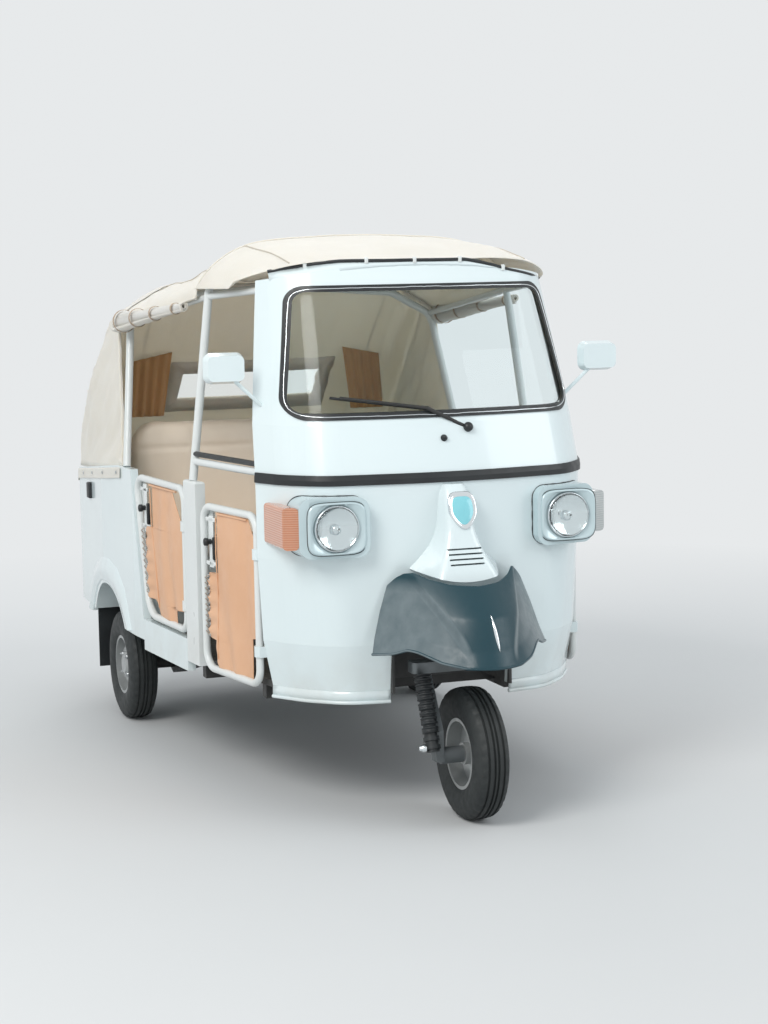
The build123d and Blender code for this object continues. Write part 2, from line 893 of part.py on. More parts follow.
def hood_form(inset):
    start = hood_front - (50.0 if inset else 0.0)
    base = canvas_seat - 4 * inset
    with BuildPart() as form:
        add(loft_through([hood_level(start, inset), hood_level(hood_end, inset)]))
        with BuildSketch(Plane.YZ.offset(-900)) as side:
            Polygon(
                (from_axle(start) - 10, side_belt_z + base),
                (from_axle(start) - 10, 1900),
                (from_axle(hood_knee[0] - 250), 1900 - inset),
                (from_axle(hood_knee[0]), hood_knee[1] - inset),
                (hood_tail - inset * 1.25, tail_belt_z + 30),
                (hood_tail - inset * 1.25, belt_height_at(hood_tail) + base),
                (from_axle(belt_bend), side_belt_z + base),
                align=None,
            )
        extrude(amount=1800, mode=Mode.INTERSECT)
        add(rear_level_long(hood_inset + inset), mode=Mode.INTERSECT)
    return form.part


def rear_level_long(inset):
    # the rear body's plan, carried forward and up for the hood
    with BuildPart() as form:
        with BuildSketch(Plane.XY.offset(600)) as level:
            right = [(-quarter_half + inset, from_axle(800))]
            right += [(-x + inset, from_axle(y)) for x, y in rear_plan[1:-1]]
            right.append((-rear_plan[-1][0] + inset, tail_y - inset))
            left = [(-x, y) for x, y in reversed(right)]
            Polygon(*right, *left, align=None)
            fillet(level.vertices().sort_by(Axis.Y)[-2:], tail_corner - inset)
        extrude(amount=1300)
    return form.part


def valance_foot(place):
    # the hood's hanging side edge
    return hood_edge - valance + 2 - hood_drop * (place - hood_front)


with BuildPart() as side_space:
    # the open sides over the doors
    with BuildSketch(Plane.YZ.offset(-900)):
        Polygon(
            (from_axle(hood_front) - 10, 600),
            (from_axle(c_foot_place + 40), 600),
            (from_axle(c_foot_place + 40), side_belt_z),
            (from_axle(c_hoop_place + 26), valance_foot(c_hoop_place + 26)),
            (from_axle(hood_front) - 10, valance_foot(hood_front - 10)),
            align=None,
        )
    extrude(amount=1800)
with BuildPart() as rear_hood:
    add(hood_form(0.0))
    add(hood_form(canvas), mode=Mode.SUBTRACT)
    add(side_space.part, mode=Mode.SUBTRACT)
    add(block((-window_half, from_axle(1960), window_low_z), (window_half, tail_y + 100, window_high_z)),
        mode=Mode.SUBTRACT)
save(rear_hood.part, "rear_hood")

# Roof tubes: a hoop on the door posts, a hoop on the quarters and two rails
b_foot_x = side_x(b_hoop_place) - post_depth / 2
rail_half_front = 462.0
rail_front_place = 524.0
rail_front_z = 1628.0
rail_b_z = 1604.0
rail_c_z = 1506.0
hoop_bend = 60.0


def hoop(foot_x, foot_place, foot_z, place, half, shoulder_z, flank_z, crown_z):
    flank = half * shoulder_share
    points = [
        (-foot_x, from_axle(foot_place), foot_z),
        (-half, from_axle(place), shoulder_z),
        (-flank, from_axle(place), flank_z),
        (0, from_axle(place), crown_z),
    ]
    points += [(-x, y, z) for x, y, z in reversed(points[:-1])]
    return bent_tube(points, hoop_bend, roof_tube)


b_hoop = hoop(b_foot_x, b_hoop_place - 26, post_top_z, b_hoop_place, b_hoop_half, 1642.0, 1722.0, 1748.0)
c_hoop = hoop(quarter_half - 16, c_foot_place, side_belt_z, c_hoop_place, c_hoop_half, 1502.0, 1588.0, 1622.0)
front_rail = straight_tube(
    (-rail_half_front, from_axle(rail_front_place), rail_front_z),
    (-b_hoop_half - 4, from_axle(b_hoop_place), rail_b_z),
    roof_tube - 3,
)
back_rail = straight_tube(
    (-b_hoop_half - 4, from_axle(b_hoop_place), rail_b_z),
    (-c_hoop_half, from_axle(c_hoop_place), rail_c_z),
    roof_tube - 3,
)
with BuildPart() as roof_frame:
    add(b_hoop)
    add(c_hoop)
    add(both_sides(front_rail))
    add(both_sides(back_rail))
    add(screen_frame.part, mode=Mode.SUBTRACT)
    add(door_posts.part, mode=Mode.SUBTRACT)
    add(rear_body.part, mode=Mode.SUBTRACT)
save(roof_frame.part, "roof_frame")

# Side curtains, rolled up under the rails
roll_radius = 22.0
roll_start = 968.0
roll_end = 1765.0


def roll_point(place, x):
    # just under the hood's hanging edge
    return (-x, from_axle(place), valance_foot(place) - roll_radius - canvas_seat)


curtain = straight_tube(roll_point(roll_start, 566.0), roll_point(roll_end, 640.0), roll_radius)
save(both_sides(curtain), "curtain_rolls")


# Seats: soft pads as plain closed forms
def pad(low, high, radius):
    with BuildPart() as form:
        add(block(low, high))
        fillet(form.edges(), radius)
    return form.part


seat_gap = 0.4
rear_seat_front = 1408.0
rear_cushion_top = 762.0
save(pad(
    (-590, from_axle(rear_seat_front), bench_top_z + bench_wall + seat_gap),
    (590, from_axle(rear_back_front - 2), rear_cushion_top),
    24,
), "rear_seat_cushion")
with BuildPart() as rear_back:
    with BuildSketch(Plane.YZ.offset(-600)) as side:
        Polygon(
            (from_axle(rear_back_front), bench_top_z + bench_wall + seat_gap + 112),
            (from_axle(rear_back_front + 46), 1142),
            (from_axle(rear_back_front + rear_back_depth), 1142),
            (from_axle(rear_back_front + rear_back_depth - 4), bench_top_z + bench_wall + seat_gap),
            (from_axle(rear_back_front), bench_top_z + bench_wall + seat_gap),
            align=None,
        )
    extrude(amount=1200)
    fillet(rear_back.edges().group_by(Axis.Z)[-1], 30)
save(rear_back.part, "rear_seat_back")

driver_half = 270.0
driver_front = 560.0
driver_back = 868.0
driver_base_top = 640.0
save(pad(
    (-driver_half, from_axle(driver_front - 30), driver_base_top + seat_gap),
    (driver_half, from_axle(driver_back - 2), driver_base_top + 92),
    22,
), "driver_cushion")
save(pad(
    (-driver_half, from_axle(driver_back), driver_base_top + seat_gap),
    (driver_half, from_axle(driver_back + 62), 1050),
    22,
), "driver_back")
with BuildPart() as driver_base:
    add(block(
        (-driver_half + 30, from_axle(driver_front), floor_top_z),
        (driver_half - 30, from_axle(driver_back + 60), driver_base_top),
    ))
    fillet(driver_base.edges().filter_by(Axis.Z), 20)
save(driver_base.part, "driver_seat_base")

# Dash shelf under the windscreen
dash_low_z = 1110.0
dash_high_z = 1196.0
dash_levels = [
    (dash_low_z, 545.0, 300.0, (500.0, 252.0), (402.0, 150.0), 96.0),
    (dash_high_z, 545.0, 320.0, (500.0, 275.0), (402.0, 175.0), 118.0),
]
with BuildPart() as dash:
    add(cab_form(dash_levels, 0.0))
    add(cab_outer, mode=Mode.INTERSECT)
    add(cab_front.part, mode=Mode.SUBTRACT)
save(dash.part, "dash")

# Grab rails across the door openings, from the pillar to the door post
rail_grip = 9.0
grab_z = 1088.0
grab = straight_tube(
    (-(a_post_half - 30), from_axle(374), grab_z),
    (-(b_foot_x - 9), from_axle(b_hoop_place - 26), grab_z),
    rail_grip,
)
with BuildPart() as grab_rails:
    add(both_sides(grab))
    add(cab_front.part, mode=Mode.SUBTRACT)
    add(roof_frame.part, mode=Mode.SUBTRACT)
save(grab_rails.part, "grab_rails")

# Mirrors on thin stalks from the pillars
mirror_x = 634.0
mirror_place = 400.0
mirror_z = 1392.0
mirror_width = 96.0
mirror_height = 132.0
mirror_depth = 34.0
stalk_radius = 6.0
stalk_foot = (-(a_post_half - 44), from_axle(392), 1262.0)
mirror_middle = (-mirror_x, from_axle(mirror_place), mirror_z)
with BuildPart() as mirror_shell:
    with BuildSketch(Plane.XZ.offset(-mirror_middle[1])):
        with Locations((mirror_middle[0], mirror_z)):
            RectangleRounded(mirror_height, mirror_width, 26)
    extrude(amount=mirror_depth, taper=14)
    with BuildSketch(Plane.XZ.offset(-mirror_middle[1])):
        with Locations((mirror_middle[0], mirror_z)):
            RectangleRounded(mirror_height - 8, mirror_width - 8, 22)
    extrude(amount=4, mode=Mode.SUBTRACT)
stalk_end = (-mirror_x + 20, mirror_middle[1] - 14, mirror_z - 30)
stalk = straight_tube(stalk_foot, stalk_end, stalk_radius)
with BuildPart() as mirror_side:
    add(mirror_shell.part)
    add(stalk)
    add(frame_outer, mode=Mode.SUBTRACT)
    add(cab_outer, mode=Mode.SUBTRACT)
save(both_sides(mirror_side.part), "mirrors")
with BuildPart() as mirror_face:
    with BuildSketch(Plane.XZ.offset(-mirror_middle[1])):
        with Locations((mirror_middle[0], mirror_z)):
            RectangleRounded(mirror_height - 8.6, mirror_width - 8.6, 21)
    extrude(amount=3.9)
save(both_sides(mirror_face.part), "mirror_glasses")

# Wiper: a pivot on the cowl, an arm and a blade parked across the glass
wiper_pivot = (72.0, from_axle(146), 1196.0)
wiper_elbow = (-60.0, from_axle(150), 1262.0)
wiper_tip = (-330.0, from_axle(186), 1300.0)
with BuildPart() as wiper:
    add(straight_tube(wiper_pivot, wiper_elbow, 6.0))
    add(straight_tube(wiper_elbow, wiper_tip, 5.0))
    add(straight_tube(wiper_pivot, (wiper_pivot[0], wiper_pivot[1] + 34, wiper_pivot[2] - 10), 9.0))
    add(frame_outer, mode=Mode.SUBTRACT)
    add(seal_proud, mode=Mode.SUBTRACT)
    add(cab_outer, mode=Mode.SUBTRACT)
save(wiper.part, "wiper")

# Tail lamps, rear bumper and mud flaps
tail_lamp_x = 520.0
tail_lamp_z = 640.0
tail_lamp_width = 96.0
tail_lamp_height = 190.0
with BuildPart() as tail_lamp:
    with BuildSketch(Plane.XZ.offset(-(tail_y + 16))):
        with Locations((-tail_lamp_x, tail_lamp_z)):
            RectangleRounded(tail_lamp_width, tail_lamp_height, 18)
    extrude(amount=40)
    add(rear_level(0.0, sill_z, 1100.0), mode=Mode.SUBTRACT)
save(both_sides(tail_lamp.part), "tail_lamps")

bumper_radius = 22.0
bumper_z = 352.0
bumper_half = 520.0
bumper_bend = 110.0
bumper_y = overall_length / 2 - bumper_radius
with BuildPart() as rear_bumper:
    add(bent_tube(
        [
            (-bumper_half, bumper_y - 150, bumper_z),
            (-bumper_half, bumper_y, bumper_z),
            (bumper_half, bumper_y, bumper_z),
            (bumper_half, bumper_y - 150, bumper_z),
        ],
        bumper_bend,
        bumper_radius,
    ))
    for side in (-1, 1):
        add(block(
            (side * rail_half - 14, from_axle(rail_back), bumper_z - 20),
            (side * rail_half + 14, bumper_y, bumper_z + 20),
        ))
save(rear_bumper.part, "rear_bumper")

flap_thickness = 5.0
flap_low_z = 150.0
flap_y = rear_axle_y + 286.0
flap = block(
    (-650, flap_y, flap_low_z),
    (-house_inner - 6, flap_y + flap_thickness, sill_z),
)
save(both_sides(flap), "mud_flaps")

# Trailing arms with the stub axles, and the rear dampers
arm_x = 402.0
arm_width = 56.0
arm_pivot = (1500.0, 300.0)
arm_end = 508.0
hub_face_x = rear_track / 2 - hub_length / 2
with BuildPart() as arm:
    with BuildSketch(Plane.YZ.offset(-arm_x - arm_width / 2)):
        with BuildLine():
            Polyline(
                (from_axle(arm_pivot[0]), arm_pivot[1] + 34),
                (rear_axle_y, tyre_radius + 52),
                (rear_axle_y + 46, tyre_radius + 30),
                (rear_axle_y + 46, tyre_radius - 30),
                (rear_axle_y, tyre_radius - 48),
                (from_axle(arm_pivot[0]), arm_pivot[1] - 34),
                close=True,
            )
        make_face()
    extrude(amount=arm_width)
    # pivot sleeve to the chassis rail
    with BuildSketch(Plane.YZ.offset(-arm_x)):
        with Locations((from_axle(arm_pivot[0]), arm_pivot[1])):
            Circle(30)
    extrude(amount=arm_x - rail_half - rail_width / 2)
    # axle tube out to the wheel, and the stub inside the hub
    with BuildSketch(Plane.YZ.offset(-hub_face_x + 2)):
        with Locations((rear_axle_y, tyre_radius)):
            Circle(26)
    extrude(amount=hub_face_x - 2 - arm_x)
    with BuildSketch(Plane.YZ.offset(-hub_face_x - hub_length + 6)):
        with Locations((rear_axle_y, tyre_radius)):
            Circle(stub_radius)
    extrude(amount=hub_length)
    # drive shaft to the gearbox
    with BuildSketch(Plane.YZ.offset(-arm_x)):
        with Locations((from_axle(1975.0), tyre_radius + 12)):
            Circle(14)
    extrude(amount=arm_x - 215.0)
save(both_sides(arm.part), "trailing_arms")

damper_place = 1880.0
damper_radius = 30.0
with BuildPart() as rear_damper:
    with BuildSketch(Plane.XY.offset(tyre_radius + 51)):
        with Locations((-arm_x, from_axle(damper_place))):
            Circle(damper_radius)
    extrude(amount=bridge_z - tyre_radius - 51)
    add(arm.part, mode=Mode.SUBTRACT)
save(both_sides(rear_damper.part), "rear_dampers")


# Wheels
def wheel_profile_tyre(half):
    with BuildSketch(Plane.XY) as section:
        with BuildLine():
            Polyline(
                (-rim_width / 2 + rim_wall, bead_radius),
                (-rim_width / 2 + rim_wall, rim_radius + 0.2),
                (-half, 138),
                (-half, 168),
            )
            ThreePointArc((-half, 168), (-half + 8, 188), (-half + 22, tyre_radius - 5))
            ThreePointArc((-half + 22, tyre_radius - 5), (0, tyre_radius), (half - 22, tyre_radius - 5))
            ThreePointArc((half - 22, tyre_radius - 5), (half - 8, 188), (half, 168))
            Polyline(
                (half, 168),
                (half, 138),
                (rim_width / 2 - rim_wall, rim_radius + 0.2),
                (rim_width / 2 - rim_wall, bead_radius),
                (-rim_width / 2 + rim_wall, bead_radius),
            )
        make_face()
    return section.sketch


def turned(section):
    # a section of length and radius, turned about the wheel's axle
    with BuildPart() as form:
        add(section)
        revolve(axis=Axis.X)
    return form.part


tyre = turned(wheel_profile_tyre(tyre_width / 2))


def rim_section():
    # from the inner flange across the well to the outer flange, disc and hub; outside is -X
    half = rim_width / 2
    with BuildSketch(Plane.XY) as section:
        with BuildLine():
            Polyline(
                (-half, rim_radius),
                (-half + rim_wall, rim_radius),
                (-half + rim_wall, bead_radius - 0.1),
                (half - rim_wall, bead_radius - 0.1),
                (half - rim_wall, rim_radius),
                (half, rim_radius),
                (half, bead_radius - rim_wall),
                (-4, bead_radius - rim_wall),
                (-10, wheel_disc_radius + 14),
                (-18, wheel_disc_radius - 2),
                (-18, hub_radius + 12),
                (-14, hub_radius),
                (hub_length / 2, hub_radius),
                (hub_length / 2, stub_radius + running_gap),
                (-hub_length / 2, stub_radius + running_gap),
                (-hub_length / 2, 0),
                (-hub_length / 2 - 8, 0),
                (-hub_length / 2 - 8, hub_radius),
                (-26, hub_radius + 12),
                (-26, wheel_disc_radius),
                (-16, wheel_disc_radius + 16),
                (-12, bead_radius - rim_wall),
                (-half, bead_radius - rim_wall),
                close=True,
            )
        make_face()
    return section.sketch


rim = turned(rim_section())
disc_holes = 4
with BuildPart() as rim_right:
    add(rim)
    with BuildSketch(Plane.YZ.offset(-60)):
        with PolarLocations(82, disc_holes):
            Circle(8)
    extrude(amount=120, mode=Mode.SUBTRACT)
front_wheel_x = 12.0
front_place = Location((front_wheel_x, front_axle_y, tyre_radius))
right_place = Location((-rear_track / 2, rear_axle_y, tyre_radius))
left_place = Location((rear_track / 2, rear_axle_y, tyre_radius))
front_turn = Location((0, 0, 0), (0, 0, 180))
save(tyre.moved(front_place), "front_tyre")
save(rim_right.part.moved(front_place * front_turn), "front_rim")
save(tyre.moved(right_place), "rear_tyre_right")
save(rim_right.part.moved(right_place), "rear_rim_right")
save(tyre.moved(left_place), "rear_tyre_left")
save(rim_right.part.moved(left_place * front_turn), "rear_rim_left")

# Steering: column and handlebar, fork leg with its link, and the damper
bar_bend = 46.0
grip_radius = 17.0
grip_length = 120.0
column_top = steering_point(bar_z)
column_low_z = crown_z + crown_height
with BuildPart() as handlebar:
    add(steering_shaft(column_radius, column_low_z - 8, bar_z))
    add(bent_tube(
        [
            (-bar_half - 60, column_top[1] + bar_sweep, bar_z),
            (-bar_half + 70, column_top[1] + bar_sweep, bar_z),
            (-90, column_top[1], bar_z + 10),
            (90, column_top[1], bar_z + 10),
            (bar_half - 70, column_top[1] + bar_sweep, bar_z),
            (bar_half + 60, column_top[1] + bar_sweep, bar_z),
        ],
        bar_bend,
        bar_radius,
    ))
    for side in (-1, 1):
        add(straight_tube(
            (side * (bar_half + 64), column_top[1] + bar_sweep, bar_z),
            (side * (bar_half + 64 - grip_length), column_top[1] + bar_sweep, bar_z),
            grip_radius,
        ))
    # instrument binnacle over the column
    with BuildSketch(Plane.XY.offset(bar_z - 16)):
        with Locations((0, column_top[1] + 6)):
            RectangleRounded(170, 92, 30)
    extrude(amount=58, taper=10)
save(handlebar.part, "handlebar")

leg_top_y = steering_point(crown_z)[1]
pivot_z = tyre_radius + 24.0
with BuildPart() as fork:
    # crown plate over the tyre
    with BuildSketch(Plane.XY.offset(crown_z)):
        with Locations((leg_x / 2 + 6, leg_top_y)):
            RectangleRounded(-leg_x + 100, 66, 20)
    extrude(amount=crown_height)
    add(handlebar.part, mode=Mode.SUBTRACT)
    # flat leg down beside the tyre
    with BuildSketch(Plane.YZ.offset(leg_x - leg_width / 2)):
        Polygon(
            (leg_top_y - 30, crown_z + 4),
            (leg_top_y + 32, crown_z + 4),
            (front_axle_y + 30, pivot_z + 60),
            (front_axle_y + 8, pivot_z - 36),
            (front_axle_y - 34, pivot_z - 36),
            (front_axle_y - 30, pivot_z + 60),
            align=None,
        )
    extrude(amount=leg_width)
    # stub axle into the hub
    stub_start = leg_x + leg_width / 2 - 1
    stub_end = front_wheel_x + hub_length / 2 - 6
    with BuildSketch(Plane.YZ.offset(stub_start)):
        with Locations((front_axle_y, tyre_radius)):
            Circle(stub_radius)
    extrude(amount=stub_end - stub_start)
    with BuildSketch(Plane.YZ.offset(stub_start)):
        with Locations((front_axle_y, tyre_radius)):
            Circle(26)
    extrude(amount=front_wheel_x - hub_length / 2 - 2 - stub_start)
save(fork.part, "fork")

# Front damper: ribbed bellows from the crown to an eye ahead of the axle
damper_x = -132.0
damper_ribs = 9
damper_low = (damper_x, front_axle_y - 46.0, tyre_radius + 26.0)
damper_high = (damper_x, leg_top_y - 62.0, crown_z - 2.0)
rib_radius = 25.0
core_radius = 20.0
damper_axis = Vector(*damper_high) - Vector(*damper_low)
with BuildPart() as front_damper:
    with BuildSketch(Plane(origin=damper_low, z_dir=damper_axis, x_dir=(1, 0, 0))):
        Circle(core_radius)
    extrude(amount=damper_axis.length)
    pitch = damper_axis.length / damper_ribs
    for rib in range(damper_ribs):
        start = Vector(*damper_low) + damper_axis.normalized() * (pitch * rib + pitch * 0.25)
        with BuildSketch(Plane(origin=start, z_dir=damper_axis, x_dir=(1, 0, 0))):
            Circle(rib_radius)
        extrude(amount=pitch * 0.5)
    add(fork.part, mode=Mode.SUBTRACT)
save(front_damper.part, "front_damper")


# Half doors: a bent tube loop, a vinyl panel and a latch plate
def door_plane(start, start_x, end, end_x, base_z):
    # U along the door from its hinge, V up, W outwards
    along = Vector(-(end_x - start_x), from_axle(end) - from_axle(start), 0)
    return Plane(origin=(-start_x, from_axle(start), base_z), x_dir=along, z_dir=along.cross(Vector(0, 0, 1)))


def door_outline(foot, head, height, inset, foot_corner):
    with BuildSketch() as outline:
        Polygon((inset, inset), (foot - inset, inset), (head - inset, height - inset), (inset, height - inset),
                align=None)
        ordered = outline.vertices().sort_by(Axis.X)
        fillet(ordered[0:2], door_corner - inset)
        rear = outline.vertices().sort_by(Axis.X)[-2:].sort_by(Axis.Y)
        fillet(rear[1], door_corner - inset)
        low = outline.vertices().sort_by(Axis.X).filter_by(lambda v: v.Y < inset + 1).sort_by(Axis.X)[-1]
        fillet(low, foot_corner - inset)
    return outline.sketch


def door_frame(plane, foot, head, height, foot_corner):
    outline = door_outline(foot, head, height, 0.0, foot_corner)
    loop = plane * outline.wire()
    with BuildPart() as frame:
        with BuildSketch(Plane(origin=loop @ 0, z_dir=loop % 0)):
            Circle(door_tube)
        sweep(path=loop)
        # latch plate at the upper rear corner
        with BuildSketch(plane.offset(door_tube - 2)):
            with Locations((head - latch_width / 2 - 4, height - latch_height / 2 - 16)):
                RectangleRounded(latch_width, latch_height, 6)
        extrude(amount=latch_thickness)
    return frame.part


def door_panel(plane, foot, head, height, foot_corner, frame, lug_heights):
    outline = door_outline(foot, head, height, 6.0, foot_corner)
    with BuildPart() as panel:
        with BuildSketch(plane.offset(-door_panel_thickness / 2)):
            add(outline)
        extrude(amount=door_panel_thickness)
        add(frame, mode=Mode.SUBTRACT)
        # room for the hinge collars
        for low_z in lug_heights:
            with Locations((plane.origin.X, plane.origin.Y, low_z + hinge_height / 2)):
                Cylinder(door_tube + hinge_wall + 5, hinge_height + 10, mode=Mode.SUBTRACT)
    return panel.part


# name, start, foot length, head length, base, height, foot corner, hinge collars
door_rows = [
    ("front_door", front_door_start, front_door_length, front_door_length, door_base_z, front_door_height, 60.0,
     front_lugs),
    ("rear_door", rear_door_start, rear_door_foot, rear_door_head, rear_door_base_z, rear_door_height, 96.0,
     rear_lugs),
]
for name, start, foot, head, base_z, height, foot_corner, lugs in door_rows:
    hinge_x = side_x(start) - door_inset
    latch_x = side_x(start + head) - door_inset
    plane = door_plane(start, hinge_x, start + head, latch_x, base_z)
    frame = door_frame(plane, foot, head, height, foot_corner)
    panel = door_panel(plane, foot, head, height, foot_corner, frame, lugs)
    for side in ("right", "left"):
        frame_side = frame if side == "right" else mirror(frame, about=Plane.YZ)
        panel_side = panel if side == "right" else mirror(panel, about=Plane.YZ)
        save(frame_side, name + "_frame_" + side)
        save(panel_side, name + "_panel_" + side)

# Engine lid in the tail, hinged along its upper edge
lid_wall = 12.0
with BuildPart() as engine_lid:
    add(block((-lid_half, tail_y - lid_wall, lid_low_z), (lid_half, tail_y, lid_high_z)))
    fillet(engine_lid.edges().filter_by(Axis.Y), 30)
    for row in range(6):
        with BuildSketch(Plane.XZ.offset(-(tail_y + 10))):
            with Locations((0, lid_low_z + 70 + row * 26)):
                SlotOverall(360, 9)
        extrude(amount=60, mode=Mode.SUBTRACT)
    # ears that turn on the hinge pins
    for side in (-1, 1):
        for end in (-1, 1):
            middle = side * lid_hinge_x + end * (lid_knuckle_half + 1.5 + lid_ear_half)
            low_x = middle - lid_ear_half
            high_x = middle + lid_ear_half
            add(block((low_x, tail_y - 1, lid_hinge_z - 28), (high_x, tail_y + 3, lid_high_z)))
            add(block((low_x, tail_y - 1, lid_high_z - 5), (high_x, lid_hinge_y, lid_high_z)))
            add(straight_tube((low_x, lid_hinge_y, lid_hinge_z), (high_x, lid_hinge_y, lid_hinge_z), lid_knuckle))
        add(straight_tube(
            (side * lid_hinge_x - 60, lid_hinge_y, lid_hinge_z),
            (side * lid_hinge_x + 60, lid_hinge_y, lid_hinge_z),
            lid_pin + running_gap,
        ), mode=Mode.SUBTRACT)
save(engine_lid.part, "engine_lid")
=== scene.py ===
import json
import math

import bmesh
import bpy
from mathutils import Euler, Matrix, Vector, noise
from mathutils.bvhtree import BVHTree


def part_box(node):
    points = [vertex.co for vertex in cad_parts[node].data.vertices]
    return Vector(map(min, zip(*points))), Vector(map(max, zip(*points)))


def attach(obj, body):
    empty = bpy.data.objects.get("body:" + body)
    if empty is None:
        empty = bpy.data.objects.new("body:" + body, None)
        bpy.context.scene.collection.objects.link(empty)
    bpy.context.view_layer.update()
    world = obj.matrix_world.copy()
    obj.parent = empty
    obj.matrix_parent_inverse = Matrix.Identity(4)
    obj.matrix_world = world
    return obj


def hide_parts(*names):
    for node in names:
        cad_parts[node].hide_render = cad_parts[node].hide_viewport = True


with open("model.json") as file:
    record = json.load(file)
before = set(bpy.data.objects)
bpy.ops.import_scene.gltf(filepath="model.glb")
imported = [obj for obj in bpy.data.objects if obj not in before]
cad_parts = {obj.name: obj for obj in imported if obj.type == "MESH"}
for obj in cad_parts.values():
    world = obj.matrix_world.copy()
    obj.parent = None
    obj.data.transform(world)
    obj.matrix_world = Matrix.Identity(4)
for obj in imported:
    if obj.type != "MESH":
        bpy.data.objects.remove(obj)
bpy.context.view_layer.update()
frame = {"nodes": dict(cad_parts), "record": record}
nodes = frame["nodes"]

# Main places, in metres: -Y is forward, +X the vehicle's left, +Z up
FRONT_AXLE_Y = -1.189
REAR_AXLE_Y = 0.731
TAIL_Y = 1.411
TYRE_RADIUS = 0.205
SIDES = ((-1, "right"), (1, "left"))

# Where rays start, outside the vehicle, and the ways they go
ABOVE = 2.2
AHEAD = -2.0
BEHIND = 2.4
BESIDE = 1.6
DOWN = (0, 0, -1)
BACKWARD = (0, 1, 0)
FORWARD = (0, -1, 0)


def from_axle(y):
    return FRONT_AXLE_Y + y


# Camera: the photograph's standpoint, aimed at the middle of the vehicle
def aim(obj, target, roll=0.0):
    direction = Vector(target) - obj.location
    turn = direction.to_track_quat("-Z", "Y").to_matrix().to_4x4()
    obj.rotation_euler = (turn @ Matrix.Rotation(roll, 4, "Z")).to_euler()


camera_data = bpy.data.cameras.new("camera")
camera_data.sensor_fit = "VERTICAL"
camera_data.sensor_height = 36.0
camera_data.lens = 77.0
camera = bpy.data.objects.new("camera", camera_data)
bpy.context.scene.collection.objects.link(camera)
camera.location = (-2.496, -7.310, 1.732)
aim(camera, (0.02, -0.42, 0.87), math.radians(-1.0))
bpy.context.scene.camera = camera
bpy.context.scene.view_settings.view_transform = "Standard"


# Node helpers: in keyword names, _ stands for the blanks of an input's name
def set_inputs(node, **values):
    for key, value in values.items():
        node.inputs[key.replace("_", " ")].default_value = value


def shader_material(name, **values):
    mat = bpy.data.materials.new(name)
    mat.use_nodes = True
    shader = mat.node_tree.nodes["Principled BSDF"]
    set_inputs(shader, **values)
    return mat, mat.node_tree, shader


def add_node(tree, kind, inputs=(), **settings):
    node = tree.nodes.new(kind)
    for key, value in settings.items():
        setattr(node, key, value)
    set_inputs(node, **dict(inputs))
    return node


def feed(tree, socket, value):
    # links another node's output to the socket, or sets a plain value
    if isinstance(value, bpy.types.NodeSocket):
        tree.links.new(value, socket)
    else:
        socket.default_value = value


def object_place(tree):
    return add_node(tree, "ShaderNodeTexCoord").outputs["Object"]


def axes_of(tree, place):
    parts = add_node(tree, "ShaderNodeSeparateXYZ")
    tree.links.new(place, parts.inputs["Vector"])
    return parts.outputs


def compute(tree, operation, *values):
    node = add_node(tree, "ShaderNodeMath", operation=operation)
    for socket, value in zip(node.inputs, values):
        feed(tree, socket, value)
    return node.outputs["Value"]


def noise_field(tree, scale, detail=4.0):
    node = add_node(tree, "ShaderNodeTexNoise", {"Scale": scale, "Detail": detail, "Roughness": 0.55})
    tree.links.new(object_place(tree), node.inputs["Vector"])
    return node.outputs["Fac"]


def spread(tree, value, low, high, start=0.3, end=0.7):
    # values from start to end become values from low to high
    node = add_node(tree, "ShaderNodeMapRange")
    set_inputs(node, From_Min=start, From_Max=end, To_Min=low, To_Max=high)
    tree.links.new(value, node.inputs["Value"])
    return node.outputs["Result"]


def mix_color(tree, factor, first, second):
    node = add_node(tree, "ShaderNodeMix", data_type="RGBA")
    for name, value in (("A", first), ("B", second)):
        socket = [s for s in node.inputs if s.name == name and s.type == "RGBA"][0]
        feed(tree, socket, value if isinstance(value, bpy.types.NodeSocket) else (*value, 1.0))
    tree.links.new(factor, [s for s in node.inputs if s.name == "Factor" and s.type == "VALUE"][0])
    return [s for s in node.outputs if s.type == "RGBA"][0]


def clouded(tree, scale, first, second, detail=4.0, amount=1.0, start=0.3, end=0.7):
    # the second colour in soft patches over the first
    patches = spread(tree, noise_field(tree, scale, detail), 0.0, amount, start, end)
    return mix_color(tree, patches, first, second)


def vary_roughness(tree, shader, scale, low, high, detail=4.0):
    tree.links.new(spread(tree, noise_field(tree, scale, detail), low, high), shader.inputs["Roughness"])


def add_bump(tree, shader, height, strength, distance, normal=None):
    node = add_node(tree, "ShaderNodeBump", {"Strength": strength, "Distance": distance})
    tree.links.new(height, node.inputs["Height"])
    if normal is not None:
        tree.links.new(normal, node.inputs["Normal"])
    tree.links.new(node.outputs["Normal"], shader.inputs["Normal"])
    return node.outputs["Normal"]


def height_mask(tree, low, high):
    # one at the low height, zero at the high one
    return spread(tree, axes_of(tree, object_place(tree))["Z"], 1.0, 0.0, low, high)


# Materials
def paint(name, color, shade, roughness=0.22, coat=0.6, dust=(0.46, 0.42, 0.36)):
    # gloss paint that is dusty towards the sills
    mat, tree, shader = shader_material(name, Coat_Weight=coat, Coat_Roughness=0.05)
    patches = spread(tree, noise_field(tree, 9.0, 6.0), 0.0, 0.32)
    low_dust = compute(tree, "MULTIPLY", height_mask(tree, 0.36, 0.56), patches)
    dusty = mix_color(tree, low_dust, clouded(tree, 1.6, color, shade, 2.0), dust)
    tree.links.new(dusty, shader.inputs["Base Color"])
    vary_roughness(tree, shader, 5.0, roughness * 0.9, roughness * 1.15, 2.0)
    add_bump(tree, shader, noise_field(tree, 12.0, 1.0), 0.02, 0.0006)
    return mat


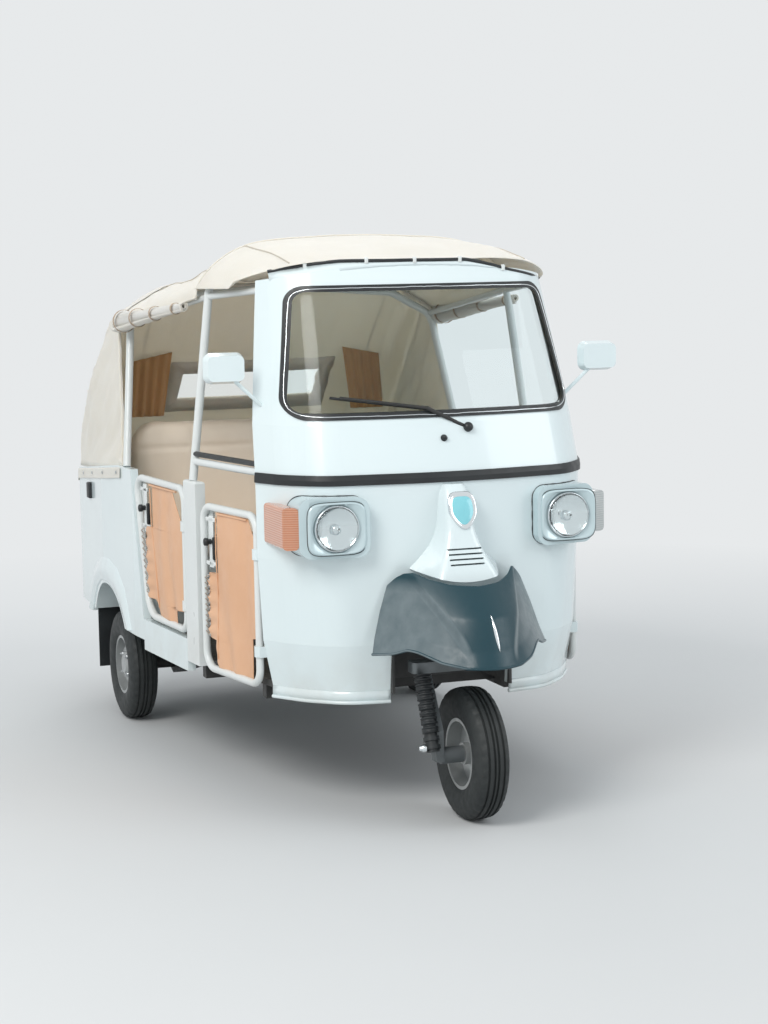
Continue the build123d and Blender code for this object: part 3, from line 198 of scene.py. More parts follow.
def moulded(name, color, shade, roughness=0.5, grain=900.0, grain_strength=0.25, coat=0.0, metallic=0.0):
    # plastic, rubber or painted castings with a fine grain
    mat, tree, shader = shader_material(name, Metallic=metallic, Coat_Weight=coat)
    tree.links.new(clouded(tree, 7.0, color, shade), shader.inputs["Base Color"])
    vary_roughness(tree, shader, 45.0, roughness * 0.85, roughness * 1.2)
    add_bump(tree, shader, noise_field(tree, grain, 3.0), grain_strength, 0.0003)
    return mat


def guard_with_painted_highlight(name, color, painted_highlight_grey):
    # dark plastic with a painted highlight: side faces below the top are painted grey, in noisy patches, as if
    # lit
    mat, tree, shader = shader_material(name)
    normal = add_node(tree, "ShaderNodeTexCoord").outputs["Normal"]
    facing = spread(tree, compute(tree, "ABSOLUTE", axes_of(tree, normal)["X"]), 0.0, 1.0, 0.52, 0.74)
    below_top = compute(tree, "MULTIPLY", facing, height_mask(tree, 0.715, 0.755))
    # painted highlight: how much grey is painted on the side faces
    painted_highlight = compute(tree, "MULTIPLY", below_top, spread(tree, noise_field(tree, 26.0, 6.0), 0.7, 1.0))
    tree.links.new(mix_color(tree, painted_highlight, color, painted_highlight_grey), shader.inputs["Base Color"])
    vary_roughness(tree, shader, 45.0, 0.30, 0.42)
    add_bump(tree, shader, noise_field(tree, 900.0, 3.0), 0.25, 0.0003)
    return mat


def woven(name, color, shade, pitch=0.0022, stain=(0.66, 0.60, 0.51), glow=0.0):
    # canvas: crossed threads, cloudy colour and a little staining
    mat, tree, shader = shader_material(
        name, Sheen_Weight=0.25, Subsurface_Weight=glow, Subsurface_Scale=0.012,
        Subsurface_Radius=(1.0, 0.92, 0.82),
    )
    axes = axes_of(tree, object_place(tree))
    threads = []
    for across in ("X", "Y"):
        total = compute(tree, "ADD", axes[across], axes["Z"])
        threads.append(compute(tree, "SINE", compute(tree, "MULTIPLY", total, 2 * math.pi / pitch)))
    weave = compute(tree, "MULTIPLY", threads[0], threads[1])
    cloudy = clouded(tree, 5.0, color, shade, 6.0)
    fine = clouded(tree, 260.0, cloudy, shade, 2.0, 0.5)
    tree.links.new(clouded(tree, 1.7, fine, stain, 8.0, 0.28, 0.52, 0.8), shader.inputs["Base Color"])
    vary_roughness(tree, shader, 60.0, 0.78, 0.95)
    first = add_bump(tree, shader, weave, 0.35, 0.0004)
    add_bump(tree, shader, noise_field(tree, 28.0, 5.0), 0.3, 0.003, first)
    return mat


def vinyl(name, color, shade, roughness=0.45, grain=650.0):
    # grained sheet, a little scuffed
    mat, tree, shader = shader_material(name)
    cloudy = clouded(tree, 4.5, color, shade, 6.0)
    tree.links.new(clouded(tree, 38.0, cloudy, shade, 8.0, 0.22, 0.60, 0.85), shader.inputs["Base Color"])
    vary_roughness(tree, shader, 22.0, roughness * 0.8, roughness * 1.25)
    cells = add_node(tree, "ShaderNodeTexVoronoi", {"Scale": grain})
    tree.links.new(object_place(tree), cells.inputs["Vector"])
    first = add_bump(tree, shader, cells.outputs["Distance"], 0.28, 0.0004)
    add_bump(tree, shader, noise_field(tree, 17.0, 4.0), 0.25, 0.003, first)
    return mat


def metal(name, color, roughness, bump_scale=160.0, stain=(0.25, 0.2, 0.16), stain_amount=0.25):
    mat, tree, shader = shader_material(name, Metallic=1.0)
    stained = clouded(tree, 26.0, color, stain, 9.0, stain_amount, 0.55, 0.8)
    tree.links.new(stained, shader.inputs["Base Color"])
    vary_roughness(tree, shader, 40.0, roughness * 0.8, roughness * 1.4)
    add_bump(tree, shader, noise_field(tree, bump_scale, 3.0), 0.08, 0.0005)
    return mat


def lens_plastic(name, color, shade, pitch=0.007):
    # tinted moulded plastic with level ribs; the troughs between the ribs are painted in the darker colour, a
    # painted shade
    mat, tree, shader = shader_material(name, Transmission_Weight=0.35, Coat_Weight=0.5)
    height = axes_of(tree, object_place(tree))["Z"]
    wave = compute(tree, "SINE", compute(tree, "MULTIPLY", height, 2 * math.pi / pitch))
    ribs = spread(tree, wave, 0.0, 1.0, -1.0, 1.0)
    # painted shade: the darker colour lies in the rib troughs
    tree.links.new(mix_color(tree, ribs, shade, color), shader.inputs["Base Color"])
    vary_roughness(tree, shader, 20.0, 0.10, 0.18)
    add_bump(tree, shader, ribs, 0.3, 0.0008)
    return mat


def clear(name, color, roughness=0.02, ior=1.45, ribs=0.0):
    # glass or clear sheet, ribbed where ribs gives their scale
    mat, tree, shader = shader_material(name, Transmission_Weight=1.0, IOR=ior)
    darker = tuple(c * 0.94 for c in color)
    tree.links.new(clouded(tree, 3.0, color, darker, amount=0.4), shader.inputs["Base Color"])
    vary_roughness(tree, shader, 9.0, roughness, roughness * 3)
    if ribs:
        wave = add_node(tree, "ShaderNodeTexWave", {"Scale": ribs})
        tree.links.new(object_place(tree), wave.inputs["Vector"])
        add_bump(tree, shader, wave.outputs["Fac"], 0.35, 0.001)
    return mat


white = paint("white_paint", (0.735, 0.83, 0.845), (0.705, 0.80, 0.82))
tube_white = paint("tube_white", (0.74, 0.77, 0.76), (0.70, 0.74, 0.74), 0.3, 0.3)
rubber = moulded("black_rubber", (0.012, 0.014, 0.016), (0.020, 0.024, 0.026), 0.42, 500.0, 0.2)
# the mudguard's second colour is a painted highlight on its side faces
guard = guard_with_painted_highlight("guard_plastic", (0.004, 0.040, 0.056), (0.15, 0.19, 0.205))
silver = moulded("lamp_silver", (0.58, 0.70, 0.73), (0.54, 0.67, 0.70), 0.22, 30.0, 0.03, 0.6, 0.25)
chrome = metal("bright_chrome", (0.80, 0.84, 0.86), 0.08, stain_amount=0.08)
steel = metal("plain_steel", (0.48, 0.50, 0.51), 0.33)
dark_metal = moulded("chassis_black", (0.018, 0.019, 0.020), (0.035, 0.034, 0.032), 0.5, 300.0, 0.4)
grey_metal = moulded("grey_metal", (0.20, 0.22, 0.23), (0.14, 0.155, 0.16), 0.42, 260.0, 0.3, 0.1, 0.5)
dash_plastic = moulded("dash_plastic", (0.48, 0.53, 0.54), (0.40, 0.46, 0.47), 0.5)
floor_mat = moulded("floor_mat", (0.05, 0.052, 0.054), (0.075, 0.074, 0.07), 0.75, 420.0, 0.5)
amber = lens_plastic("indicator_orange", (0.86, 0.46, 0.30), (0.74, 0.30, 0.16))
pale_lens = lens_plastic("indicator_pale", (0.78, 0.80, 0.79), (0.60, 0.64, 0.64))
lens_glass = clear("lamp_lens", (0.95, 0.98, 0.98), 0.02, 1.45, 45.0)
screen_glass = clear("windscreen_glass", (0.88, 0.96, 0.97), 0.0, 1.22)
tail_red = lens_plastic("tail_red", (0.55, 0.02, 0.02), (0.34, 0.01, 0.01))
mirror_glass = metal("mirror_glass", (0.86, 0.89, 0.90), 0.03, stain_amount=0.02)
tyre_rubber = moulded("tyre", (0.014, 0.018, 0.019), (0.028, 0.032, 0.032), 0.62, 260.0, 0.5)
rim_silver = moulded("rim_silver", (0.46, 0.48, 0.48), (0.34, 0.35, 0.35), 0.35, 300.0, 0.15, 0.2, 0.6)
engine_grey = metal("engine_grey", (0.36, 0.36, 0.36), 0.5, 60.0)
canvas = woven("canvas_cream", (0.80, 0.755, 0.67), (0.745, 0.695, 0.605), glow=0.75)
canvas_orange = woven("canvas_orange", (0.72, 0.38, 0.18), (0.62, 0.31, 0.14), glow=0.6)
seat_cream = vinyl("seat_cream", (0.86, 0.76, 0.64), (0.80, 0.69, 0.565))
seat_tan = vinyl("seat_tan", (0.70, 0.45, 0.27), (0.62, 0.385, 0.225))
door_vinyl = vinyl("door_vinyl", (0.76, 0.46, 0.285), (0.70, 0.40, 0.235))
badge_blue = moulded("badge_blue", (0.26, 0.66, 0.72), (0.20, 0.58, 0.66), 0.2, 900.0, 0.05, 0.8)
canvas_seam = woven("canvas_seam", (0.58, 0.53, 0.44), (0.50, 0.45, 0.37))
strap_tan = woven("strap_tan", (0.50, 0.38, 0.27), (0.42, 0.31, 0.21))
window_vinyl = clear("window_vinyl", (0.90, 0.91, 0.88), 0.10, 1.08)

slot_materials = {
    "white_paint": white,
    "windscreen_glass": screen_glass,
    "black_rubber": rubber,
    "guard_plastic": guard,
    "lamp_silver": silver,
    "lamp_lens": lens_glass,
    "indicator_orange": amber,
    "indicator_pale": pale_lens,
    "dash_plastic": dash_plastic,
    "floor_mat": floor_mat,
    "chassis_black": dark_metal,
    "canvas_cream": canvas,
    "seat_cream": seat_cream,
    "seat_tan": seat_tan,
    "door_vinyl": door_vinyl,
    "steel_grey": grey_metal,
    "mirror_glass": mirror_glass,
    "tail_red": tail_red,
    "tyre": tyre_rubber,
    "rim_silver": rim_silver,
    "engine_grey": engine_grey,
    "damper_black": rubber,
}
tube_nodes = ("roof_frame", "door_posts")
for entry in frame["record"]["subparts"]:
    node = nodes[entry["node"]]
    look = slot_materials[entry["material_slot"]]
    if entry["node"] in tube_nodes or "door_frame" in entry["node"]:
        look = tube_white
    node.data.materials.clear()
    node.data.materials.append(look)


# Mesh helpers
def show(obj, look, body="body"):
    if obj.name not in bpy.context.scene.collection.objects:
        bpy.context.scene.collection.objects.link(obj)
    obj.data.materials.clear()
    obj.data.materials.append(look)
    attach(obj, body)
    return obj


def smooth_faces(mesh):
    for face in mesh.polygons:
        face.use_smooth = True


def object_from(name, shape):
    # an object that takes over an edit mesh
    mesh = bpy.data.meshes.new(name)
    shape.to_mesh(mesh)
    shape.free()
    return bpy.data.objects.new(name, mesh)


def apply_modifiers(obj):
    view = bpy.context.evaluated_depsgraph_get()
    mesh = bpy.data.meshes.new_from_object(obj.evaluated_get(view))
    obj.modifiers.clear()
    obj.data = mesh
    return obj


def grid_object(name, rows, closed=False, wrap=False):
    # rows of points joined into quads; closed joins each row's ends, wrap the last row to the first
    width = len(rows[0])
    points = [tuple(p) for row in rows for p in row]
    faces = []
    for i in range(len(rows) if wrap else len(rows) - 1):
        below = (i + 1) % len(rows)
        for j in range(width if closed else width - 1):
            right = (j + 1) % width
            faces.append((i * width + j, i * width + right, below * width + right, below * width + j))
    mesh = bpy.data.meshes.new(name)
    mesh.from_pydata(points, [], faces)
    smooth_faces(mesh)
    obj = bpy.data.objects.new(name, mesh)
    bpy.context.scene.collection.objects.link(obj)
    return obj


def thicken(obj, thickness, offset=-1.0, levels=0):
    solid = obj.modifiers.new("thickness", "SOLIDIFY")
    solid.thickness = thickness
    solid.offset = offset
    if levels:
        obj.modifiers.new("smooth", "SUBSURF").levels = levels
    return apply_modifiers(obj)


def curve_object(name, points, radius, look, body="body", cyclic=False, smooth=True, sides=4):
    # a round tube along points
    data = bpy.data.curves.new(name, "CURVE")
    data.dimensions = "3D"
    data.bevel_depth = radius
    data.bevel_resolution = sides
    data.use_fill_caps = True
    spline = data.splines.new("NURBS" if smooth else "POLY")
    spline.points.add(len(points) - 1)
    for target, p in zip(spline.points, points):
        target.co = (*p, 1.0)
    spline.use_cyclic_u = cyclic
    if smooth:
        spline.order_u = 3
        spline.use_endpoint_u = not cyclic
    obj = bpy.data.objects.new(name, data)
    return show(obj, look, body)


def circle(count):
    # cosine and sine of evenly spaced angles
    angles = [2 * math.pi * i / count for i in range(count)]
    return [(math.cos(angle), math.sin(angle)) for angle in angles]


def lathe(name, profile, centre, axis, look, body="body", steps=48):
    # profile of (along the axis, radius) turned about the axis through the centre
    turn = Vector((0, 0, 1)).rotation_difference(Vector(axis)).to_matrix()
    rows = [
        [Vector(centre) + turn @ Vector((r * c, r * s, length)) for length, r in profile]
        for c, s in circle(steps)
    ]
    return show(grid_object(name, rows, wrap=True), look, body)


def block_object(name, size, place, look, body="body", bevel=0.002, turn=(0.0, 0.0, 0.0)):
    # a block with rounded edges
    shape = bmesh.new()
    bmesh.ops.create_cube(shape, size=1.0)
    bmesh.ops.scale(shape, vec=size, verts=shape.verts)
    bmesh.ops.bevel(shape, geom=shape.edges[:], offset=bevel, segments=3, profile=0.5, affect="EDGES")
    matrix = Matrix.Translation(place) @ Euler(turn).to_matrix().to_4x4()
    bmesh.ops.transform(shape, matrix=matrix, verts=shape.verts)
    obj = object_from(name, shape)
    smooth_faces(obj.data)
    return show(obj, look, body)


def join(name, objs, look, body="body"):
    # one piece from several meshes and tubes
    shape = bmesh.new()
    view = bpy.context.evaluated_depsgraph_get()
    for obj in objs:
        mesh = bpy.data.meshes.new_from_object(obj.evaluated_get(view))
        shape.from_mesh(mesh)
        bpy.data.meshes.remove(mesh)
        bpy.data.objects.remove(obj)
    return show(object_from(name, shape), look, body)


def surface_of(*objs):
    # what rays can be sent to
    shape = bmesh.new()
    for obj in objs:
        shape.from_mesh(obj.data)
    tree = BVHTree.FromBMesh(shape)
    shape.free()
    return tree


def skin(*names):
    return surface_of(*[nodes[name] for name in names])


def meet(tree, start, toward, reach=4.0):
    place, normal, _, _ = tree.ray_cast(Vector(start), Vector(toward).normalized(), reach)
    return place, normal


def meet_front(tree, x, z, reach=4.0):
    # where a level ray from ahead lands
    return meet(tree, (x, AHEAD, z), BACKWARD, reach)[0]


def along(line, share):
    # value on a broken line of (share, value) pairs
    for (s0, v0), (s1, v1) in zip(line, line[1:]):
        if share <= s1:
            part = 0.0 if s1 == s0 else (share - s0) / (s1 - s0)
            return v0 + (v1 - v0) * max(0.0, part)
    return line[-1][1]


def spaced(points, count):
    # the same line with evenly spaced points
    lengths = [0.0]
    for a, b in zip(points, points[1:]):
        lengths.append(lengths[-1] + (b - a).length)
    result = []
    j = 0
    for i in range(count):
        goal = lengths[-1] * i / (count - 1)
        while j < len(points) - 2 and lengths[j + 1] < goal:
            j += 1
        span = lengths[j + 1] - lengths[j]
        result.append(points[j].lerp(points[j + 1], 0.0 if span == 0 else (goal - lengths[j]) / span))
    return result


def make_sheet(obj, thickness, look, stands_for=None, offset=-1.0, levels=0,
               body="body"):
    thicken(obj, thickness, offset, levels)
    show(obj, look, body)
    if stands_for:
        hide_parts(stands_for)


# Canvas: outer skins sampled from the solids, then folded and thickened
CANVAS = 0.004
THIN_CANVAS = 0.003
NOISE_SHIFT = Vector((3.7, 1.9, 5.3))
CANOPY_TAPER = 0.0872


def rough_noise(place):
    return noise.fractal(place + NOISE_SHIFT, 1.0, 2.0, 3)


def folds(place, direction, pitch, strength):
    # long soft folds that run along a direction
    flat = Vector(direction).normalized()
    across = place - flat * place.dot(flat) * 0.82
    return strength * rough_noise(across / pitch)


def fold_sheet(rows, shift):
    # moves each point of the rows along the sheet's own normal, which looks outward
    height, width = len(rows), len(rows[0])
    moved = []
    for i in range(height):
        line = []
        for j in range(width):
            down = rows[min(i + 1, height - 1)][j] - rows[max(i - 1, 0)][j]
            side = rows[i][min(j + 1, width - 1)] - rows[i][max(j - 1, 0)]
            normal = side.cross(down)
            normal = normal.normalized() if normal.length > 1e-9 else Vector((0, 0, 1))
            inside = Vector((0, rows[i][j].y, 0.9))
            if normal.z < -0.3 or normal.dot(rows[i][j] - inside) < 0:
                normal = -normal
            line.append(rows[i][j] + normal * shift(rows[i][j], i / (height - 1), j / (width - 1)))
        moved.append(line)
    return moved


def relax(rows, passes, keep_ends=True):
    # evens out the facets of a grid of points; the rows' ends stay put, and the first and last rows too
    # unless they may move along themselves
    height, width = len(rows), len(rows[0])
    for _ in range(passes):
        old = [[p.copy() for p in line] for line in rows]
        for i in range(height):
            for j in range(1, width - 1):
                beside = (old[i][j - 1] + old[i][j + 1]) / 2
                if 0 < i < height - 1:
                    beside = (beside + (old[i - 1][j] + old[i + 1][j]) / 2) / 2
                elif keep_ends:
                    continue
                rows[i][j] = old[i][j].lerp(beside, 0.6)
    return rows


def canopy_front(tree, low, high, share):
    # where the canopy begins at a share of its half width
    for step in range(120):
        y = low.y - 0.002 + 0.004 * step
        half = high.x - 0.0015 - (high.y - y) * CANOPY_TAPER
        place, normal = meet(tree, (share * half, y, ABOVE), DOWN, 0.62)
        if place is not None and normal.z > 0.2:
            return y
    return high.y - 0.2


def canopy_rows():
    tree = skin("roof_canopy")
    low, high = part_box("roof_canopy")
    shares = [-1 + 2 * i / 56 for i in range(57)]
    fronts = [canopy_front(tree, low, high, share) for share in shares]
    drops = (0.040, 0.026, 0.012)
    rows = []
    for k in range(33):
        t = k / 32
        line = []
        for share, front in zip(shares, fronts):
            y = front + 0.001 + (high.y - 0.001 - front) * t
            half = high.x - 0.002 - (high.y - y) * CANOPY_TAPER
            place, _ = meet(tree, (share * half, y, ABOVE), DOWN, 0.62)
            if place is None:
                place = Vector((share * half, y, line[-1].z if line else 1.668))
            line.append(place)
        skirt = min(1.0, 0.30 + 4.0 * t)
        left = [line[0] + Vector((-0.002, 0, -drop * skirt)) for drop in drops]
        right = [line[-1] + Vector((0.002, 0, -drop * skirt)) for drop in reversed(drops)]
        rows.append(left + line + right)
    return relax(rows, 26, keep_ends=False)


def canopy_shift(place, back, across):
    # sags a little between the header and the hoop, with a few long folds from front to back
    middle = math.sin(math.pi * back)
    wave = folds(place, (0.15, 1, 0.1), 0.085, 0.0035) + folds(place, (1, 0.2, 0), 0.20, 0.0035)
    crease = 0.0022 * math.sin(place.x * 38 + place.y * 9)
    return (wave + crease * 0.4) * (0.25 + 0.75 * middle) - 0.006 * middle


canopy_grid = fold_sheet(canopy_rows(), canopy_shift)
canopy = grid_object("canopy_cloth", canopy_grid)
make_sheet(canopy, CANVAS, canvas, "roof_canopy", levels=1)

# Hood: a roof stretch back to the rear hoop, then a fan of sections down to the rear belt
HOOP_FOOT = Vector((0, from_axle(1.665), 0.985))
HOOP_TOP = Vector((0, from_axle(1.802), 1.487))
WINDOW_HALF, WINDOW_LOW, WINDOW_HIGH = 0.300, 1.158, 1.304


def valance_z(y):
    return 1.594 - 0.125 * (y - from_axle(0.9486))


def ring(tree, centre, up, start=0.0, count=260):
    # outer points of the hood in a plane through the centre that holds X and the up direction
    points = []
    for i in range(count + 1):
        angle = math.pi * (start + (1 - 2 * start) * i / count)
        out = Vector((-math.cos(angle), 0, 0)) + Vector(up).normalized() * math.sin(angle)
        place, _ = meet(tree, centre + out * 2.2, -out, 2.19)
        points.append(place)
    # bridges the window
    for i, place in enumerate(points):
        if place is None:
            before = [p for p in points[:i] if p is not None]
            later = [p for p in points[i + 1:] if p is not None]
            if before and later:
                ahead = next(k for k in range(i + 1, len(points)) if points[k] is not None)
                points[i] = before[-1].lerp(later[0], 1 / (ahead - i + 1))
    return [p for p in points if p is not None]


def clip_low(points, low_z):
    # drops what hangs below the height and ends the line on it
    kept = [p for p in points if p.z >= low_z]
    first = points.index(kept[0])
    last = len(points) - 1 - points[::-1].index(kept[-1])
    ends = []
    for inner, outer in ((first, first - 1), (last, last + 1)):
        if 0 <= outer < len(points) and abs(points[inner].z - points[outer].z) > 1e-6:
            share = (points[inner].z - low_z) / (points[inner].z - points[outer].z)
            ends.append(points[inner].lerp(points[outer], min(1.0, max(0.0, share))))
        else:
            ends.append(Vector((points[inner].x, points[inner].y, low_z)))
    return [ends[0]] + kept + [ends[1]]


def hood_roof_rows():
    tree = skin("rear_hood")
    base_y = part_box("rear_hood")[0].y + 0.002
    rows = []
    for k in range(46):
        t = k / 45
        lean = (HOOP_TOP - HOOP_FOOT).normalized() * t + Vector((0, 0, 1)) * (1 - t)
        y = base_y + (HOOP_TOP.y - 0.004 - base_y) * t
        centre = Vector((0, y, 1.49)) - lean * (0.30 / lean.z)
        points = ring(tree, centre, lean)
        rows.append(spaced(clip_low(points, valance_z(y) + 0.001), 101))
    return relax(rows, 14)


def hood_back_rows():
    tree = skin("rear_hood")
    start = math.atan2(HOOP_TOP.z - HOOP_FOOT.z, HOOP_TOP.y - HOOP_FOOT.y)
    end = math.radians(-3.4)
    rows = []
    for k in range(64):
        angle = start - 0.012 + (end - start + 0.012) * k / 63
        up = Vector((0, math.cos(angle), math.sin(angle)))
        points = ring(tree, HOOP_FOOT + Vector((0, 0.004, 0.006)), up, 0.002)
        line = spaced(points, 121)
        if WINDOW_LOW - 0.02 < line[60].z < WINDOW_HIGH + 0.02:
            for side in (-1, 1):
                near = min(range(121), key=lambda j: abs(line[j].x - side * WINDOW_HALF))
                line[near] = Vector((side * WINDOW_HALF, line[near].y, line[near].z))
        rows.append(line)
    foot = []
    for p in rows[-1]:
        out = Vector((p.x, p.y - 0.7, 0)).normalized()
        foot.append(p + out * 0.003 + Vector((0, 0, -0.026)))
    rows.append(foot)
    return rows


def roof_shift(place, back, across):
    # hangs between hoops and rails, drawn into folds near the rear hoop
    edge = min(across, 1 - across)
    sag = -0.010 * math.sin(math.pi * back) * min(1.0, edge * 6)
    drawn = folds(place, (0.25, 1, -0.15), 0.075, 0.012) * (0.35 + 0.65 * back)
    cross = folds(place, (1, 0.1, 0.2), 0.16, 0.006)
    return sag + (drawn + cross) * (0.3 + 0.7 * math.sin(math.pi * min(1, back * 1.4) / 1.4 * 0.9))


def back_shift(place, down, across):
    # hangs at the sides, drawn towards the lower corners, and calm round the window
    side = 1.0 if abs(place.x) > 0.55 else 0.0
    hang = folds(place, (0, 0.75, -0.65), 0.075, 0.014) * side
    corner = Vector((math.copysign(0.60, place.x), 1.30, 0.92))
    turn = math.atan2(place.z - corner.z, (abs(corner.x) - abs(place.x)) + 0.4 * (corner.y - place.y))
    reach = min(1.0, (place - corner).length / 0.25) * max(0.0, 1.2 - (place - corner).length)
    drawn = 0.0045 * math.sin(turn * 17 + place.x) * reach
    panel = (folds(place, (0.05, 0.7, -0.7), 0.12, 0.010) + drawn) * (1 - side)
    calm = min(1.0, max(0.0, (1 - down) * 7)) * min(1.0, 0.15 + down * 5)
    window = abs(place.x) < 0.36 and 1.10 < place.z < 1.36
    return (hang + panel * (0.2 if window else 1.0)) * calm - 0.006 * side * math.sin(math.pi * down)


hood_roof_grid = fold_sheet(hood_roof_rows(), roof_shift)
hood_roof = grid_object("hood_roof_cloth", hood_roof_grid)
make_sheet(hood_roof, CANVAS, canvas, "rear_hood")


def cut_window(obj):
    shape = bmesh.new()
    shape.from_mesh(obj.data)
    gone = []
    for face in shape.faces:
        middle = face.calc_center_median()
        if abs(middle.x) < WINDOW_HALF and WINDOW_LOW < middle.z < WINDOW_HIGH and middle.y > 0.5:
            gone.append(face)
    bmesh.ops.delete(shape, geom=gone, context="FACES")
    shape.to_mesh(obj.data)
    shape.free()


hood_back_grid = fold_sheet(hood_back_rows(), back_shift)
hood_back = grid_object("hood_back_cloth", hood_back_grid)
cut_window(hood_back)
make_sheet(hood_back, CANVAS, canvas, "rear_hood")

# A band of doubled cloth over the rear hoop joins the two
band_low = hood_roof_grid[-1][0].z
band_lines = [spaced(hood_roof_grid[k], 101) for k in (-3, -1)]
band_lines += [spaced(clip_low(hood_back_grid[k], band_low), 101) for k in (1, 3)]
hoop_band = grid_object("hood_hoop_band", fold_sheet(band_lines, lambda place, back, across: 0.0030))
make_sheet(hoop_band, THIN_CANVAS, canvas,
           offset=0.0, levels=1)

cloth_tree = surface_of(canopy, hood_roof, hood_back)


def on_cloth(start, toward, lift):
    place, normal = meet(cloth_tree, start, toward)
    if place is None:
        return None
    if normal.dot(Vector(toward)) > 0:
        normal = -normal
    return place + normal * lift


def line_on_cloth(starts, toward, lift):
    places = [on_cloth(start, toward, lift) for start in starts]
    return [place for place in places if place is not None]


# A strip of the same cloth closes the step between canopy and hood
hood_tree = surface_of(hood_roof)
closing = [[], [], []]
for top in canopy_grid[-1]:
    foot, _ = meet(hood_tree, (top.x * 0.985, -0.226, ABOVE), DOWN)
    if foot is None:
        foot = Vector((top.x * 0.985, -0.226, top.z - 0.030))
    foot.z = min(foot.z, top.z - 0.002)
    for line, share in zip(closing, (0.0, 0.5, 1.0)):
        line.append(top.lerp(foot, share) + Vector((0, 0.004 * math.sin(math.pi * share), 0.0005)))
strip = grid_object("canopy_closing_strip", closing)
make_sheet(strip, THIN_CANVAS, canvas)


# Orange curtains gathered inside the hood beside the rear window
def drape_rows(side):
    rows = []
    for i in range(25):
        t = i / 24
        inner = 0.348 + 0.036 * t
        outer = 0.500 + 0.020 * t
        line = []
        for j in range(41):
            s = j / 40
            pleat = 0.007 * math.sin(s * 2 * math.pi * 4 + 0.8 * t) * (0.6 + 0.4 * t)
            z = 1.372 - 0.030 * s - (0.246 - 0.030 * s) * t
            line.append(Vector((side * (inner + (outer - inner) * s), 0.925 + 0.012 * t + pleat, z)))
        rows.append(line)
    return rows


for side, label in SIDES:
    drape = grid_object(f"inner_curtain_{label}", drape_rows(side))
    make_sheet(drape, 0.0018, canvas_orange, offset=0.0)

# Seams on each side: piece, then the first point and the step to the next, and their count
SEAMS = {
    "canopy_seam": ((0.40, -0.80), (0.0, 0.018), 32),
    "hood_seam": ((0.43, -0.235), (0.0012, 0.024), 36),
    "hood_back_seam": ((0.46, 0.66), (0.0, 0.018), 41),
}
for side, label in SIDES:
    for name, ((x, y), (x_step, y_step), count) in SEAMS.items():
        starts = [(side * (x + x_step * i), y + y_step * i, ABOVE) for i in range(count)]
        curve_object(f"{name}_{label}", line_on_cloth(starts, DOWN, 0.001), 0.0022, canvas_seam)

# Hood edges: a hem on the valance, the bound edge of the canvas over each quarter, the canopy's rear hem
for side, label in SIDES:
    starts = [(side * BESIDE, y, valance_z(y) + 0.006) for y in [-0.238 + i * 0.0205 for i in range(42)]]
    curve_object(f"hood_hem_{label}", line_on_cloth(starts, (-side, 0, 0), 0.0015), 0.0035, canvas)
    bases = [HOOP_FOOT.lerp(HOOP_TOP, i / 25) for i in range(26)]
    starts = [(side * BESIDE, base.y + 0.012, base.z) for base in bases]
    curve_object(f"hood_bound_edge_{label}", line_on_cloth(starts, (-side, 0, 0), 0.002), 0.0045, canvas)
starts = [(-0.556 + 1.112 * i / 40, -0.246, ABOVE) for i in range(41)]
curve_object("canopy_rear_hem", line_on_cloth(starts, DOWN, 0.0015), 0.0035, canvas)


# Rear window: a clear sheet in a sewn border
def window_edges(z, half):
    return [on_cloth((side * half, BEHIND, z), FORWARD, 0.0) for side in (-1, 1)]


pane_rows = []
for k in range(9):
    z = WINDOW_LOW - 0.012 + (WINDOW_HIGH - WINDOW_LOW + 0.024) * k / 8
    left, right = window_edges(z, 0.325)
    line = []
    for j in range(21):
        share = j / 20
        ripple = 0.0025 * math.sin(share * 9 + k * 0.4) * math.sin(math.pi * share)
        p = left.lerp(right, share) + Vector((0, -0.002 + ripple, -0.001))
        p.x *= 0.318 / 0.325
        line.append(p)
    pane_rows.append(line)
pane = grid_object("hood_window_pane", pane_rows)
thicken(pane, 0.001)
show(pane, window_vinyl)


def rectangle_points(half, low_z, high_z, count):
    # x and z along the four sides of a rectangle
    corners = [(-half, low_z), (half, low_z), (half, high_z), (-half, high_z)]
    return [
        (x0 + (x1 - x0) * i / count, z0 + (z1 - z0) * i / count)
        for (x0, z0), (x1, z1) in zip(corners, corners[1:] + corners[:1]) for i in range(count)
    ]


def window_place(x, z, lift):
    left, right = window_edges(z, 0.345)
    return Vector((x, (left.y + right.y) / 2 + lift, z + lift))


frame_loops = []
for half, grow, lift in (
    (0.336, -0.030, 0.0), (0.334, -0.028, 0.0055), (0.280, 0.018, 0.0055),
    (0.277, 0.020, 0.0), (0.280, 0.018, -0.0060), (0.334, -0.028, -0.0060),
):
    outline = rectangle_points(half, WINDOW_LOW + grow, WINDOW_HIGH - grow, 20)
    frame_loops.append([window_place(x, z, lift) for x, z in outline])
show(grid_object("hood_window_frame", frame_loops, closed=True, wrap=True), canvas)
outline = rectangle_points(0.315, WINDOW_LOW - 0.016, WINDOW_HIGH + 0.016, 16)
border = line_on_cloth([(x, BEHIND, z) for x, z in outline], FORWARD, 0.001)
curve_object("hood_window_border", border, 0.006, canvas, cyclic=True)

# Flap over the rear belt, with press studs
body_tree = skin("rear_body")
FLAP_DROPS = (-0.004, 0.006, 0.018, 0.030, 0.041)


def belt_z(y):
    bend = from_axle(1.66)
    return 0.985 if y < bend else 0.985 - 0.085 * (y - bend) / (TAIL_Y - bend)


